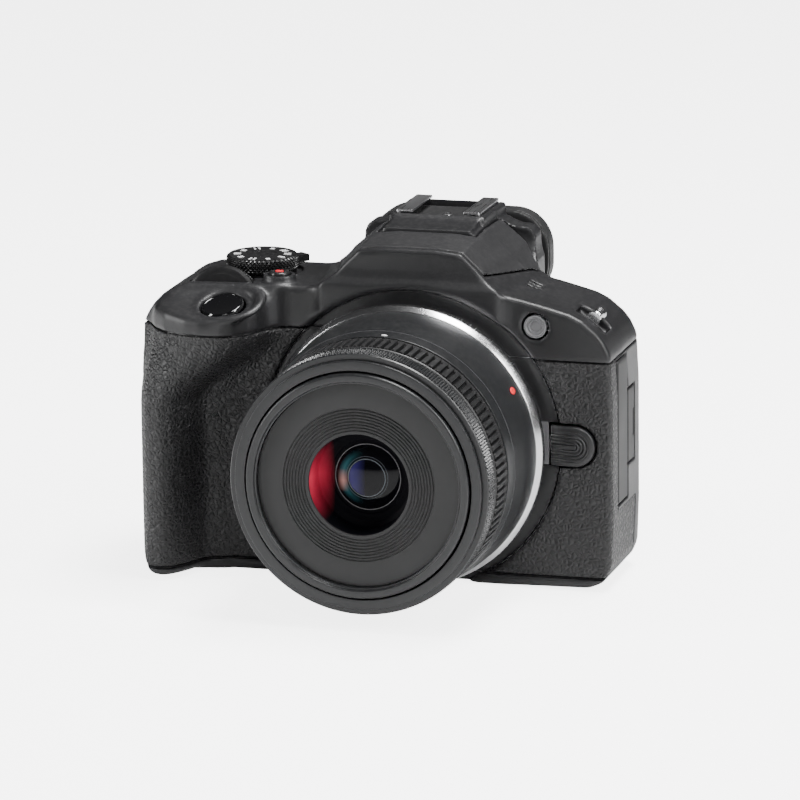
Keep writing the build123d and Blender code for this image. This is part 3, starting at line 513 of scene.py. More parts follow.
# ================================================================ the body's outer form
@dataclass
class BodyForm:
    """The outside of the camera body as a distance field.

    Attributes:
        front_blend: Rounding of the front edges.
        rear_blend: Rounding of the rear edges.
        grip_blend: Fillet between the grip and the body.
        hump_blend: Fillet at the foot of the viewfinder hump.
        cove_radius: Outer radius of the hollow round the lens.
        cove_inner: Inner radius of that hollow.
        cove_floor: Where the hollow ends, along Y.
        cove_blend: Rounding of the hollow's edge.
        grip_edge: Rounding of the grip's upright edges.
        grip_turn: Height where the palm starts to turn into the finger shelf.
        table_slope: Slope of the shutter-button table, in degrees.
        table_y: Where the table meets the top plate.
        rim_blend: Fillet at the foot of the rim round the shutter button.
        outline: The body seen from in front, as x and z.
        palm: Plan of the grip low down, as x and y.
        shelf: Plan of the grip at the top, corner for corner.
    """

    front_blend: float = 1.5
    rear_blend: float = 5.0
    grip_blend: float = 5.0
    hump_blend: float = 6.0
    cove_radius: float = 36.3
    cove_inner: float = 30.9
    cove_floor: float = -13.25
    cove_blend: float = 2.2
    grip_edge: float = 3.2
    grip_turn: float = 42.0
    table_slope: float = 18.4
    table_y: float = -10.0
    rim_blend: float = 1.6
    outline: list[tuple[float, float]] = field(default_factory=lambda: [(LEFT_X + 7.0, 0.0),
            (RIGHT_X - 7.0, 0.0), (RIGHT_X - 2.05, 2.05), (RIGHT_X, 7.0), (RIGHT_X, 56.5),
            (46.9, 62.0), (41.0, 66.8), (32.1, 69.2), (24.0, TOP_Z), (-54.0, TOP_Z), (-60.0, 69.06),
            (-64.0, 64.7), (LEFT_X, 60.2), (LEFT_X, 7.0), (LEFT_X + 2.05, 2.05)])
    palm: list[tuple[float, float]] = field(default_factory=lambda: [(LEFT_X, 0.0), (LEFT_X, -20.0),
            (-63.0, -28.5), (-57.5, -29.5), (-54.0, -24.0), (-51.0, -17.0), (-47.0, -15.0),
            (-47.0, 0.0)])
    shelf: list[tuple[float, float]] = field(default_factory=lambda: [(LEFT_X, 0.0),
            (LEFT_X, -13.0), (-60.0, -25.5), (-50.0, -29.6), (-41.0, -29.3), (-36.5, -24.0),
            (-33.4, -15.0), (-33.4, 0.0)])

    def outline_field(self, x: Array, z: Array, edge: float = 5.0) -> Array:
        """Distance to the outline seen from in front, its corners rounded."""
        return polygon(x, z, inset(cut_corners(self.outline), edge)) - edge

    def torso(self, x: Array, y: Array, z: Array) -> Array:
        """The outline carried from the front face to the rear face."""
        flat = soft_max(self.outline_field(x, z), FRONT_Y - y, self.front_blend)
        return soft_max(flat, y - BACK_Y, self.rear_blend)

    def grip(self, x: Array, y: Array, z: Array) -> Array:
        """The grip: its plan turns smoothly from the narrow palm into the wide finger shelf.

        Args:
            x, y, z: Place, in millimetres.

        Returns:
            Signed distance, below zero inside.
        """
        edge = self.grip_edge
        t = np.clip((z - self.grip_turn) / (GRIP_SEAM - self.grip_turn), 0, 1)
        t = t * t * (3 - 2 * t)
        low, high = inset(self.palm, edge), inset(self.shelf, edge)
        plan = cut_corners([(a[0] + (b[0] - a[0]) * t, a[1] + (b[1] - a[1]) * t) for a,
                            b in zip(low, high)])
        out = polygon(x, y, plan) - edge
        slope = math.radians(self.table_slope)
        table = -math.sin(slope) * (y - self.table_y) + math.cos(slope) * (z - TOP_Z)
        out = soft_max(out, table, 1.6)
        out = soft_max(out, self.outline_field(x, z), 2.5)
        return soft_max(out, -z, 2.0)

    def rim(self, x: Array, y: Array, z: Array) -> Array:
        """The raised oval lip round the shutter button: a bar bent to an ellipse.

        Args:
            x, y, z: Place, in millimetres.

        Returns:
            Signed distance, below zero inside.
        """
        centre = SHUTTER + np.array((1.7, 0.9, 0.0)) - SHUTTER_UP * 0.25
        side, up = basis(SHUTTER_UP)
        dx, dy, dz = x - centre[0], y - centre[1], z - centre[2]
        u = dx * side[0] + dy * side[1] + dz * side[2]
        v = dx * up[0] + dy * up[1] + dz * up[2]
        w = dx * SHUTTER_UP[0] + dy * SHUTTER_UP[1] + dz * SHUTTER_UP[2]
        ring = (np.sqrt((u / 7.7) ** 2 + (v / 6.9) ** 2) - 1) * 7.3
        return np.sqrt(ring * ring + (w * 1.5) ** 2) - 1.15

    def hump(self, x: Array, y: Array, z: Array) -> Array:
        """The viewfinder hump: a low roof whose foot and crown widen from the front plate back.

        Args:
            x, y, z: Place, in millimetres.

        Returns:
            Signed distance, below zero inside.
        """
        t = np.clip((y - FRONT_Y) / 22.0, 0, 1)
        b = np.clip((y - 7.0) / 23.0, 0, 1)
        foot = 20.4 + 2.6 * t - 1.2 * b
        crown = 12.6 + 0.7 * t
        top = 81.7 + 1.7 * t - 0.8 * b
        mid = 0.52 * foot + 0.48 * crown + 1.5 * t
        shape = polygon(x, z,
                        [(-foot, 64.0), (foot, 64.0), (foot, 72.0), (mid, 76.6), (crown, top - 1.2),
                         (crown * 0.5, top - 0.25), (-crown * 0.5, top - 0.25), (-crown, top - 1.2),
                         (-mid, 76.6), (-foot, 72.0)])
        shape = soft_max(shape, z - top, 1.5)
        shape = soft_max(shape, FRONT_Y - y, 1.0)
        return soft_max(shape, y - 30.0, 2.5)

    def housing(self, x: Array, y: Array, z: Array) -> Array:
        """The block behind the body that holds the eyepiece."""
        return box(x, y, z, (-21.5, 4.0, 59.0), (21.5, 30.0, 80.0), 3.0)

    def cove(self, x: Array, y: Array, z: Array) -> Array:
        """The hollow ring round the lens: between two radii, in front of its floor.

        Args:
            x, y, z: Place, in millimetres.

        Returns:
            Signed distance, below zero inside.
        """
        r = np.sqrt(x * x + (z - LENS_Z) ** 2)
        return np.maximum(np.maximum(r - self.cove_radius, self.cove_inner - r),
                          y - self.cove_floor)

    def pedestal(self, x: Array, y: Array, z: Array) -> Array:
        """The apron that rises to the shoe on a hollow curve, and the block under the shoe.

        Args:
            x, y, z: Place, in millimetres.

        Returns:
            Signed distance, below zero inside.
        """
        rise = 82.9 + 1.5 * np.clip((y - 0.9) / 9.9, 0, 1) ** 2
        apron = np.maximum(np.maximum(np.abs(x) - 10.9, z - rise), np.maximum(0.7 - y, y - 11.5))
        block = box(x, y, z, (-12.2, 9.6, 76.0), (12.2, 29.9, 84.5), 0.9)
        return soft_min(np.maximum(apron, 76.0 - z), block, 0.8)

    def joined(self, x: Array, y: Array, z: Array) -> Array:
        """Body and grip with the fillet between them, held within the outline."""
        both = soft_min(self.torso(x, y, z), self.grip(x, y, z), self.grip_blend)
        return np.maximum(both, self.outline_field(x, z))

    def without_hump(self, x: Array, y: Array, z: Array) -> Array:
        """Body and grip, hollowed round the lens."""
        return soft_max(self.joined(x, y, z), -self.cove(x, y, z), self.cove_blend)

    def whole(self, x: Array, y: Array, z: Array) -> Array:
        """The whole outside, with hump, housing and shoe pedestal.

        Args:
            x, y, z: Place, in millimetres.

        Returns:
            Signed distance, below zero inside.
        """
        out = soft_min(self.joined(x, y, z), self.rim(x, y, z), self.rim_blend)
        high = soft_min(self.hump(x, y, z), self.housing(x, y, z), 2.0)
        out = soft_min(out, high, self.hump_blend)
        out = soft_max(out, -self.cove(x, y, z), self.cove_blend)
        return soft_min(out, self.pedestal(x, y, z), 0.7)


FORM = BodyForm()


# ================================================================ finishes
class Texture(Enum):
    """How a surface is broken up at close range."""

    MOULDED = "moulded"
    PEBBLED = "pebbled"
    BRUSHED = "brushed"
    POLISHED = "polished"


def new_group(name: str, inputs: Sequence[tuple[str, str, float]],
              outputs: Sequence[tuple[str, str]]) -> bpy.types.NodeTree:
    """An empty shader node group with named sockets.

    Args:
        name: Name of the group.
        inputs: Name, socket type and default of each input.
        outputs: Name and socket type of each output.

    Returns:
        The group, holding its input and output nodes.
    """
    group = bpy.data.node_groups.new(name, "ShaderNodeTree")
    for label, kind, value in inputs:
        socket = group.interface.new_socket(name=label, in_out="INPUT", socket_type=kind)
        if kind == "NodeSocketFloat":
            socket.default_value = value
    for label, kind in outputs:
        group.interface.new_socket(name=label, in_out="OUTPUT", socket_type=kind)
    group.nodes.new("NodeGroupInput")
    group.nodes.new("NodeGroupOutput")
    return group


class Nodes:
    """Short ways to add and join nodes in one tree."""

    def __init__(self, tree: bpy.types.NodeTree) -> None:
        """Keep the tree that nodes are added to."""
        self.tree = tree

    def add(self, kind: str, **values: object) -> bpy.types.Node:
        """Add a node; names that are sockets set or feed them, and other names set properties.

        Args:
            kind: Name of the node type.
            values: Sockets and properties to set.

        Returns:
            The node.
        """
        node = self.tree.nodes.new("ShaderNode" + kind)
        for key, value in values.items():
            label = key.replace("_", " ").title()
            target = node.inputs.get(label)
            if key.startswith("in"):
                target = node.inputs[int(key[2:])]
            if target is None or hasattr(node, key):
                setattr(node, key, value)
            elif isinstance(value, bpy.types.NodeSocket):
                self.tree.links.new(value, target)
            else:
                target.default_value = value
        return node

    def math(self, operation: str, a: object, b: object = 0.5,
             c: object = None) -> bpy.types.NodeSocket:
        """One step of arithmetic on values or sockets.

        Args:
            operation: Name of the operation.
            a: First value or socket.
            b: Second value or socket.
            c: Third value, or none.

        Returns:
            The result.
        """
        node = self.tree.nodes.new("ShaderNodeMath")
        node.operation = operation
        for socket, value in zip(node.inputs, (a, b, c)):
            if isinstance(value, bpy.types.NodeSocket):
                self.tree.links.new(value, socket)
            elif value is not None:
                socket.default_value = value
        return node.outputs[0]

    def link(self, a: bpy.types.NodeSocket, b: bpy.types.NodeSocket) -> None:
        """Join two sockets."""
        self.tree.links.new(a, b)

    def group(self, name: str, place: bpy.types.NodeSocket,
              value: Optional[float] = None) -> bpy.types.Node:
        """A shared group fed with the place, and with a value for its second input if given.

        Args:
            name: Name of the group.
            place: Coordinates it reads.
            value: Value of the second input, or none.

        Returns:
            The group node.
        """
        node = self.add("Group", node_tree=bpy.data.node_groups[name])
        self.link(place, node.inputs[0])
        if value is not None:
            node.inputs[1].default_value = value
        return node

    def shades(self, amount: bpy.types.NodeSocket, colour: Sequence[float], low: float,
               high: float) -> bpy.types.NodeSocket:
        """The colour, wandering between low and high times its brightness.

        Args:
            amount: Where between the two shades.
            colour: Colour.
            low: Brightness of the darker shade.
            high: Brightness of the lighter shade.

        Returns:
            The colour.
        """
        mix = self.add("Mix", data_type="RGBA", blend_type="MIX")
        self.link(amount, mix.inputs[0])
        mix.inputs[6].default_value = (*(c * low for c in colour), 1)
        mix.inputs[7].default_value = (*(min(c * high, 1) for c in colour), 1)
        return mix.outputs[2]

    def bump(self, height: bpy.types.NodeSocket, relief: float, shader: bpy.types.Node) -> None:
        """Bump the shader's normal by a height, with the relief in millimetres.

        Args:
            height: Height to read.
            relief: Height of the relief, in millimetres.
            shader: The shader.
        """
        if relief:
            node = self.add("Bump", strength=1.0, distance=relief * MM)
            self.link(height, node.inputs["Height"])
            self.link(node.outputs[0], shader.inputs["Normal"])


def principled(name: str, colour: Sequence[float]) -> tuple[
        bpy.types.Material, "Nodes", bpy.types.Node, bpy.types.NodeSocket]:
    """A new node material, with its node helper, its shader and the object coordinates.

    Args:
        name: Name of the material.
        colour: Colour in a plain view.

    Returns:
        The material, its node helper, its shader and its coordinates.
    """
    material = bpy.data.materials.new(name)
    material.use_nodes = True
    material.diffuse_color = (*colour, 1)
    n = Nodes(material.node_tree)
    shader = material.node_tree.nodes["Principled BSDF"]
    return material, n, shader, n.add("TexCoord").outputs["Object"]


def grain_group() -> None:
    """Moulded grain: fine noise over broader noise, as a height and a mask of worn patches."""
    group = new_group("moulded_grain",
                      [("Vector", "NodeSocketVector", 0), ("Fineness", "NodeSocketFloat", 3000)],
                      [("Height", "NodeSocketFloat"), ("Patches", "NodeSocketFloat")])
    n = Nodes(group)
    start, end = group.nodes[0], group.nodes[1]
    fine = n.add("TexNoise", scale=start.outputs[1], detail=3.0, roughness=0.6)
    broad = n.add("TexNoise", scale=38.0, detail=3.0, roughness=0.55)
    n.link(start.outputs[0], fine.inputs["Vector"])
    n.link(start.outputs[0], broad.inputs["Vector"])
    n.link(fine.outputs[0], end.inputs[0])
    n.link(broad.outputs[0], end.inputs[1])


def pebble_group() -> None:
    """Leather pebbles: distance to the cell border in a lattice bent by noise, as a height."""
    group = new_group("leather_pebbles",
                      [("Vector", "NodeSocketVector", 0), ("Fineness", "NodeSocketFloat", 800)],
                      [("Height", "NodeSocketFloat"), ("Hollows", "NodeSocketFloat")])
    n = Nodes(group)
    start, end = group.nodes[0], group.nodes[1]
    bend = n.add("TexNoise", scale=420.0, detail=2.0)
    n.link(start.outputs[0], bend.inputs["Vector"])
    shift = n.add("VectorMath", operation="SCALE", scale=0.0011)
    n.link(bend.outputs[1], shift.inputs[0])
    moved = n.add("VectorMath", operation="ADD")
    n.link(start.outputs[0], moved.inputs[0])
    n.link(shift.outputs[0], moved.inputs[1])
    cells = n.add("TexVoronoi", feature="DISTANCE_TO_EDGE", scale=start.outputs[1])
    n.link(moved.outputs[0], cells.inputs["Vector"])
    fine = n.add("TexNoise", scale=2600.0, detail=2.0)
    n.link(start.outputs[0], fine.inputs["Vector"])
    dome = n.math("SMOOTH_MIN", n.math("MULTIPLY", cells.outputs[0], 3.0), 1.0, 0.4)
    n.link(n.math("ADD", dome, n.math("MULTIPLY", fine.outputs[0], 0.25)), end.inputs[0])
    n.link(n.math("SUBTRACT", 1.0, dome), end.inputs[1])


def dust_group() -> None:
    """Dust that settles on what faces up: the normal's height times speckled noise, as a mask."""
    group = new_group("settled_dust",
                      [("Vector", "NodeSocketVector", 0), ("Amount", "NodeSocketFloat", 0.1)],
                      [("Mask", "NodeSocketFloat")])
    n = Nodes(group)
    start, end = group.nodes[0], group.nodes[1]
    shape = n.add("NewGeometry")
    parts = n.add("SeparateXYZ")
    n.link(shape.outputs["Normal"], parts.inputs[0])
    specks = n.add("TexNoise", scale=900.0, detail=4.0, roughness=0.7)
    n.link(start.outputs[0], specks.inputs["Vector"])
    facing = n.math("MAXIMUM", parts.outputs[2], 0.0)
    spots = n.math("MULTIPLY", n.math("SUBTRACT", specks.outputs[0], 0.45), 4.0)
    n.link(n.math("MULTIPLY", n.math("MULTIPLY", facing, n.math("MAXIMUM", spots, 0.0)),
                  start.outputs[1]), end.inputs[0])


def brush_group() -> None:
    """Brush lines along Y: noise drawn out in one direction, as a height and a roughness."""
    group = new_group("brush_lines",
                      [("Vector", "NodeSocketVector", 0), ("Roughness", "NodeSocketFloat", 0.25)],
                      [("Height", "NodeSocketFloat"), ("Roughness", "NodeSocketFloat")])
    n = Nodes(group)
    start, end = group.nodes[0], group.nodes[1]
    drawn = n.add("VectorMath", operation="MULTIPLY")
    drawn.inputs[1].default_value = (3800.0, 120.0, 3800.0)
    n.link(start.outputs[0], drawn.inputs[0])
    lines = n.add("TexNoise", scale=1.0, detail=3.0)
    n.link(drawn.outputs[0], lines.inputs["Vector"])
    n.link(lines.outputs[0], end.inputs[0])
    spread = n.math("MULTIPLY", n.math("SUBTRACT", lines.outputs[0], 0.5), 0.25)
    n.link(n.math("ADD", start.outputs[1], spread), end.inputs[1])


def painted_reflection_group() -> None:
    """Masks for painted reflections in the lens, by radius from the axis and by side.

    With u across and v up from the axis in millimetres and r their length: thin painted highlight
    rings at two radii, a teal painted reflection left of the middle, a violet one inside the small
    ring, a warm one at the lower left, and a red painted reflection band on the left of the throat.
    """
    group = new_group("lens_reflections", [("Vector", "NodeSocketVector", 0)],
                      [(name, "NodeSocketFloat") for name in ("Rings", "Teal", "Violet", "Warm",
            "Red")])
    n = Nodes(group)
    start, end = group.nodes[0], group.nodes[1]
    parts = n.add("SeparateXYZ")
    n.link(start.outputs[0], parts.inputs[0])
    u = n.math("MULTIPLY", parts.outputs[0], 1000.0)
    v = n.math("SUBTRACT", n.math("MULTIPLY", parts.outputs[2], 1000.0), LENS_Z)
    r = n.math("SQRT", n.math("ADD", n.math("MULTIPLY", u, u), n.math("MULTIPLY", v, v)))

    def band(value: bpy.types.NodeSocket, centre: float, width: float) -> bpy.types.NodeSocket:
        """One at the centre, falling to nought a width away."""
        away = n.math("DIVIDE", n.math("ABSOLUTE", n.math("SUBTRACT", value, centre)), width)
        return n.math("MAXIMUM", n.math("SUBTRACT", 1.0, away), 0.0)
    left = n.math("MAXIMUM",
                  n.math("DIVIDE", n.math("MULTIPLY", u, -1.0), n.math("MAXIMUM", r, 0.5)), 0.0)
    n.link(n.math("ADD", band(r, 4.5, 0.16), n.math("MULTIPLY", band(r, 5.1, 0.12), 0.5)),
           end.inputs[0])
    n.link(n.math("MULTIPLY", band(r, 5.9, 1.3), n.math("MULTIPLY", left, left)), end.inputs[1])
    n.link(n.math("MULTIPLY", band(u, -3.6, 3.4), n.math("LESS_THAN", r, 4.3)), end.inputs[2])
    n.link(n.math("MULTIPLY", band(u, -5.9, 1.5), band(v, -1.0, 2.8)), end.inputs[3])
    n.link(n.math("MULTIPLY", band(u, -12.6, 4.6), band(v, 0.5, 12.5)), end.inputs[4])


@dataclass(frozen=True)
class PaintedReflections:
    """Dark optical surface with painted reflections, whose colours are set by its place and glow
    faintly.

    Attributes:
        slot: The record's material slot; not used.
        lens: How strongly the painted highlight rings and the teal, violet and warm painted
            reflections show.
        red: How strongly the painted red reflection band shows.
        rough: Roughness.
        coat: Clear coat weight.
        specular: Specular level.
    """

    slot: str
    lens: float
    red: float
    rough: float
    coat: float
    specular: float

    def build(self, name: str) -> bpy.types.Material:
        """Make the node material and return it, under the name given.

        Args:
            name: Name of the material.

        Returns:
            The material.
        """
        material, n, shader, place = principled(name, (0.01, 0.01, 0.02))
        masks = n.group("lens_reflections", place)
        reflection_colours = ((0.16, 0.18, 0.2, self.lens), (0.03, 0.13, 0.15, self.lens),
                 (0.03, 0.025, 0.13, self.lens), (0.5, 0.24, 0.2, self.lens),
                 (0.62, 0.03, 0.07, self.red))
        sum_so_far = None
        for mask, (red, green, blue, amount) in zip(masks.outputs, reflection_colours):
            tint = n.add("Mix", data_type="RGBA", blend_type="MIX")
            n.link(n.math("MULTIPLY", mask, amount), tint.inputs[0])
            tint.inputs[6].default_value = (0.002, 0.002, 0.003, 1)
            if sum_so_far is not None:
                n.link(sum_so_far, tint.inputs[6])
            tint.inputs[7].default_value = (red, green, blue, 1)
            sum_so_far = tint.outputs[2]
        # The mixed colours are painted reflections, used as base colour and as a faint glow.
        n.link(sum_so_far, shader.inputs["Base Color"])
        n.link(sum_so_far, shader.inputs["Emission Color"])
        shader.inputs["Emission Strength"].default_value = 0.3
        grain = n.group("moulded_grain", place)
        n.link(n.math("ADD", n.math("MULTIPLY", grain.outputs[1], 0.02), self.rough),
               shader.inputs["Roughness"])
        shader.inputs["Coat Weight"].default_value = self.coat
        shader.inputs["Coat Roughness"].default_value = 0.05
        shader.inputs["Specular IOR Level"].default_value = self.specular
        return material


@dataclass(frozen=True)
class Finish:
    """One surface finish.

    Attributes:
        slot: The record's material slot; not used.
        colour: Base colour.
        rough: Roughness.
        texture: How it is broken up at close range.
        fineness: Cells or waves per metre.
        relief: Height of the bump, in millimetres.
        patches: How much the roughness wanders.
        metal: Metallic.
        coat: Clear coat weight.
        dust: How much dust shows on top.
        specular: Specular level.
        glow: Emission strength of the base colour.
    """

    slot: str
    colour: tuple[float, float, float]
    rough: float = 0.45
    texture: Texture = Texture.MOULDED
    fineness: float = 3200.0
    relief: float = 0.01
    patches: float = 0.12
    metal: float = 0.0
    coat: float = 0.0
    dust: float = 0.05
    specular: float = 0.5
    glow: float = 0.0

    def build(self, name: str) -> bpy.types.Material:
        """Make the node material.

        Args:
            name: Name of the material.

        Returns:
            The material.
        """
        material, n, shader, place = principled(name, self.colour)
        brushed = self.texture is Texture.BRUSHED
        kind = {Texture.PEBBLED: "leather_pebbles",
                Texture.BRUSHED: "brush_lines"}.get(self.texture, "moulded_grain")
        grain = n.group(kind, place, self.rough if brushed else self.fineness)
        wander = n.group("moulded_grain", place)
        change = n.math("MULTIPLY", n.math("SUBTRACT", wander.outputs[1], 0.5), self.patches * 2)
        rough = n.math("ADD", grain.outputs[1] if brushed else self.rough, change)
        if self.texture is Texture.PEBBLED:
            rough = n.math("ADD", rough, n.math("MULTIPLY", grain.outputs[1], 0.18))
        n.link(rough, shader.inputs["Roughness"])
        dust = n.group("settled_dust", place, self.dust)
        dusty = n.add("Mix", data_type="RGBA", blend_type="MIX")
        n.link(dust.outputs[0], dusty.inputs[0])
        n.link(n.shades(wander.outputs[1], self.colour, 0.82, 1.18), dusty.inputs[6])
        dusty.inputs[7].default_value = (0.32, 0.31, 0.3, 1)
        n.link(dusty.outputs[2], shader.inputs["Base Color"])
        n.bump(grain.outputs[0], self.relief, shader)
        shader.inputs["Metallic"].default_value = self.metal
        shader.inputs["Coat Weight"].default_value = self.coat
        shader.inputs["Coat Roughness"].default_value = 0.05
        shader.inputs["Specular IOR Level"].default_value = self.specular
        # A glow is painted light: the base colour shines without a lamp.
        if self.glow:
            n.link(dusty.outputs[2], shader.inputs["Emission Color"])
            shader.inputs["Emission Strength"].default_value = self.glow
        return material


@dataclass(frozen=True)
class GlassFinish:
    """Clear or coated glass.

    Attributes:
        slot: The record's material slot; not used.
        colour: Tint.
        rough: Roughness.
        transmission: Share of light let through.
        relief: Height of the ripples, in millimetres.
        fineness: Waves of the grain per metre.
        sheen: Clear coat weight.
    """

    slot: str
    colour: tuple[float, float, float]
    rough: float = 0.02
    transmission: float = 1.0
    relief: float = 0.0
    fineness: float = 900.0
    sheen: float = 0.0

    def build(self, name: str) -> bpy.types.Material:
        """Make the node material and return it, under the name given.

        Args:
            name: Name of the material.

        Returns:
            The material.
        """
        material, n, shader, place = principled(name, self.colour)
        grain = n.group("moulded_grain", place, self.fineness)
        n.link(n.shades(grain.outputs[1], self.colour, 0.92, 1.06), shader.inputs["Base Color"])
        spread = n.math("MULTIPLY", grain.outputs[1], 0.03)
        n.link(n.math("ADD", spread, self.rough), shader.inputs["Roughness"])
        n.bump(grain.outputs[0], self.relief, shader)
        shader.inputs["Transmission Weight"].default_value = self.transmission
        shader.inputs["IOR"].default_value = 1.5
        shader.inputs["Coat Weight"].default_value = self.sheen
        shader.inputs["Coat Roughness"].default_value = 0.02
        return material


FINISHES: dict[str, Finish | GlassFinish | PaintedReflections] = {
    "body_satin": Finish("body_plastic", (0.0095, 0.0095, 0.0105), 0.4, fineness=4200, relief=0.03),
    "hood_grain": Finish("hood_plastic", (0.011, 0.011, 0.012), 0.52, fineness=2600, relief=0.045),
    "grip_leather": Finish("leatherette", (0.012, 0.012, 0.0125), 0.36, Texture.PEBBLED, 860, 0.22),
    "door_rubber": Finish("rubber", (0.009, 0.009, 0.0095), 0.55, fineness=3000, relief=0.015),
    "button_gloss": Finish("gloss_black", (0.003, 0.003, 0.0035), 0.1, Texture.POLISHED, 1500, 0.0,
                           0.05, coat=0.8, dust=0.0),
    "dial_semi_gloss": Finish("dial_black", (0.008, 0.008, 0.0085), 0.3, fineness=3600,
                              relief=0.008),
    "barrel_satin": Finish("lens_barrel", (0.011, 0.0115, 0.0125), 0.33, fineness=4600,
                           relief=0.01),
    "barrel_matt": Finish("lens_barrel", (0.0085, 0.0085, 0.009), 0.5, fineness=4200, relief=0.012),
    "mount_bright": Finish("mount_chrome", (0.62, 0.62, 0.63), 0.22, Texture.BRUSHED, metal=1.0,
                           relief=0.002),
    "rail_brushed": Finish("steel", (0.5, 0.5, 0.51), 0.3, Texture.BRUSHED, metal=1.0,
                           relief=0.004),
    "screw_steel": Finish("steel", (0.4, 0.4, 0.41), 0.35, Texture.BRUSHED, metal=1.0,
                          relief=0.002),
    "socket_steel": Finish("steel", (0.45, 0.45, 0.46), 0.3, Texture.BRUSHED, metal=1.0,
                           relief=0.002),
    "cast_alloy": Finish("alloy", (0.35, 0.35, 0.36), 0.45, metal=1.0, fineness=2400, relief=0.01),
    "gold_plate": Finish("contact_gold", (0.8, 0.58, 0.25), 0.25, Texture.BRUSHED, metal=1.0,
                         relief=0.002),
    "white_print": Finish("dial_black", (0.75, 0.75, 0.75), 0.5, relief=0.0, dust=0.0),
    # Red print, which also glows faintly: painted light, as no lamp lies in it.
    "red_print_painted_glow": Finish("lens_barrel", (0.75, 0.015, 0.02), 0.4, relief=0.0, dust=0.0, glow=0.12),
    "red_dot": Finish("dial_black", (0.6, 0.02, 0.03), 0.4, relief=0.0, dust=0.0),
    "circuit_green": Finish("circuit", (0.02, 0.1, 0.05), 0.35, fineness=1500, relief=0.01),
    "battery_shell": Finish("battery_grey", (0.09, 0.09, 0.1), 0.5, relief=0.01),
    "card_shell": Finish("card_blue", (0.03, 0.05, 0.12), 0.45, relief=0.005),
    "screen_gloss": Finish("display_glass", (0.006, 0.006, 0.008), 0.06, Texture.POLISHED, 900, 0.0,
                           0.03, coat=1.0),
    # Painted reflections: coloured rings and patches on the front element, a red band on the
    # throat.
    "front_painted_reflections": PaintedReflections("optical_glass", 0.75, 0.0, 0.06, 0.12, 0.12),
    "throat_painted_reflection": PaintedReflections("optical_glass", 0.0, 0.85, 0.5, 0.0, 0.04),
    "rim_grey": Finish("lens_barrel", (0.09, 0.09, 0.095), 0.2, relief=0.0, dust=0.0),
    "lens_coating": Finish("optical_glass", (0.004, 0.006, 0.016), 0.03, Texture.POLISHED, 600, 0.0,
                           0.02, coat=1.0, dust=0.0),
    "lamp_frosted": GlassFinish("lamp_lens", (0.32, 0.32, 0.33), 0.2, 0.5, 0.02, 2200),
    "flash_prism": GlassFinish("flash_lens", (0.9, 0.92, 0.95), 0.15, 0.7, 0.05, 1500),
}
MATERIALS: dict[str, bpy.types.Material] = {}


def dress(piece: bpy.types.Object, finish: str) -> bpy.types.Object:
    """Give a piece one finish in every slot, building the material on first use.

    Args:
        piece: A new piece or a CAD node.
        finish: Name of the finish.

    Returns:
        The piece.
    """
    if finish not in MATERIALS:
        MATERIALS[finish] = FINISHES[finish].build(finish)
    piece.data.materials.clear()
    piece.data.materials.append(MATERIALS[finish])
    return piece


def settle(piece: bpy.types.Object, finish: str, body: str, *nodes: str) -> bpy.types.Object:
    """Dress a new piece, ride it on its body and hide the CAD nodes that it stands for.

    Args:
        piece: The new piece.
        finish: Name of its finish.
        body: The body that it moves with.
        nodes: CAD nodes that it replaces.

    Returns:
        The piece.
    """
    dress(piece, finish)
    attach(piece, body)
    if nodes:
        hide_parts(*nodes)
    log.info("%s: %d faces, %s, on %s", piece.name, len(piece.data.polygons), finish, body)
    return piece


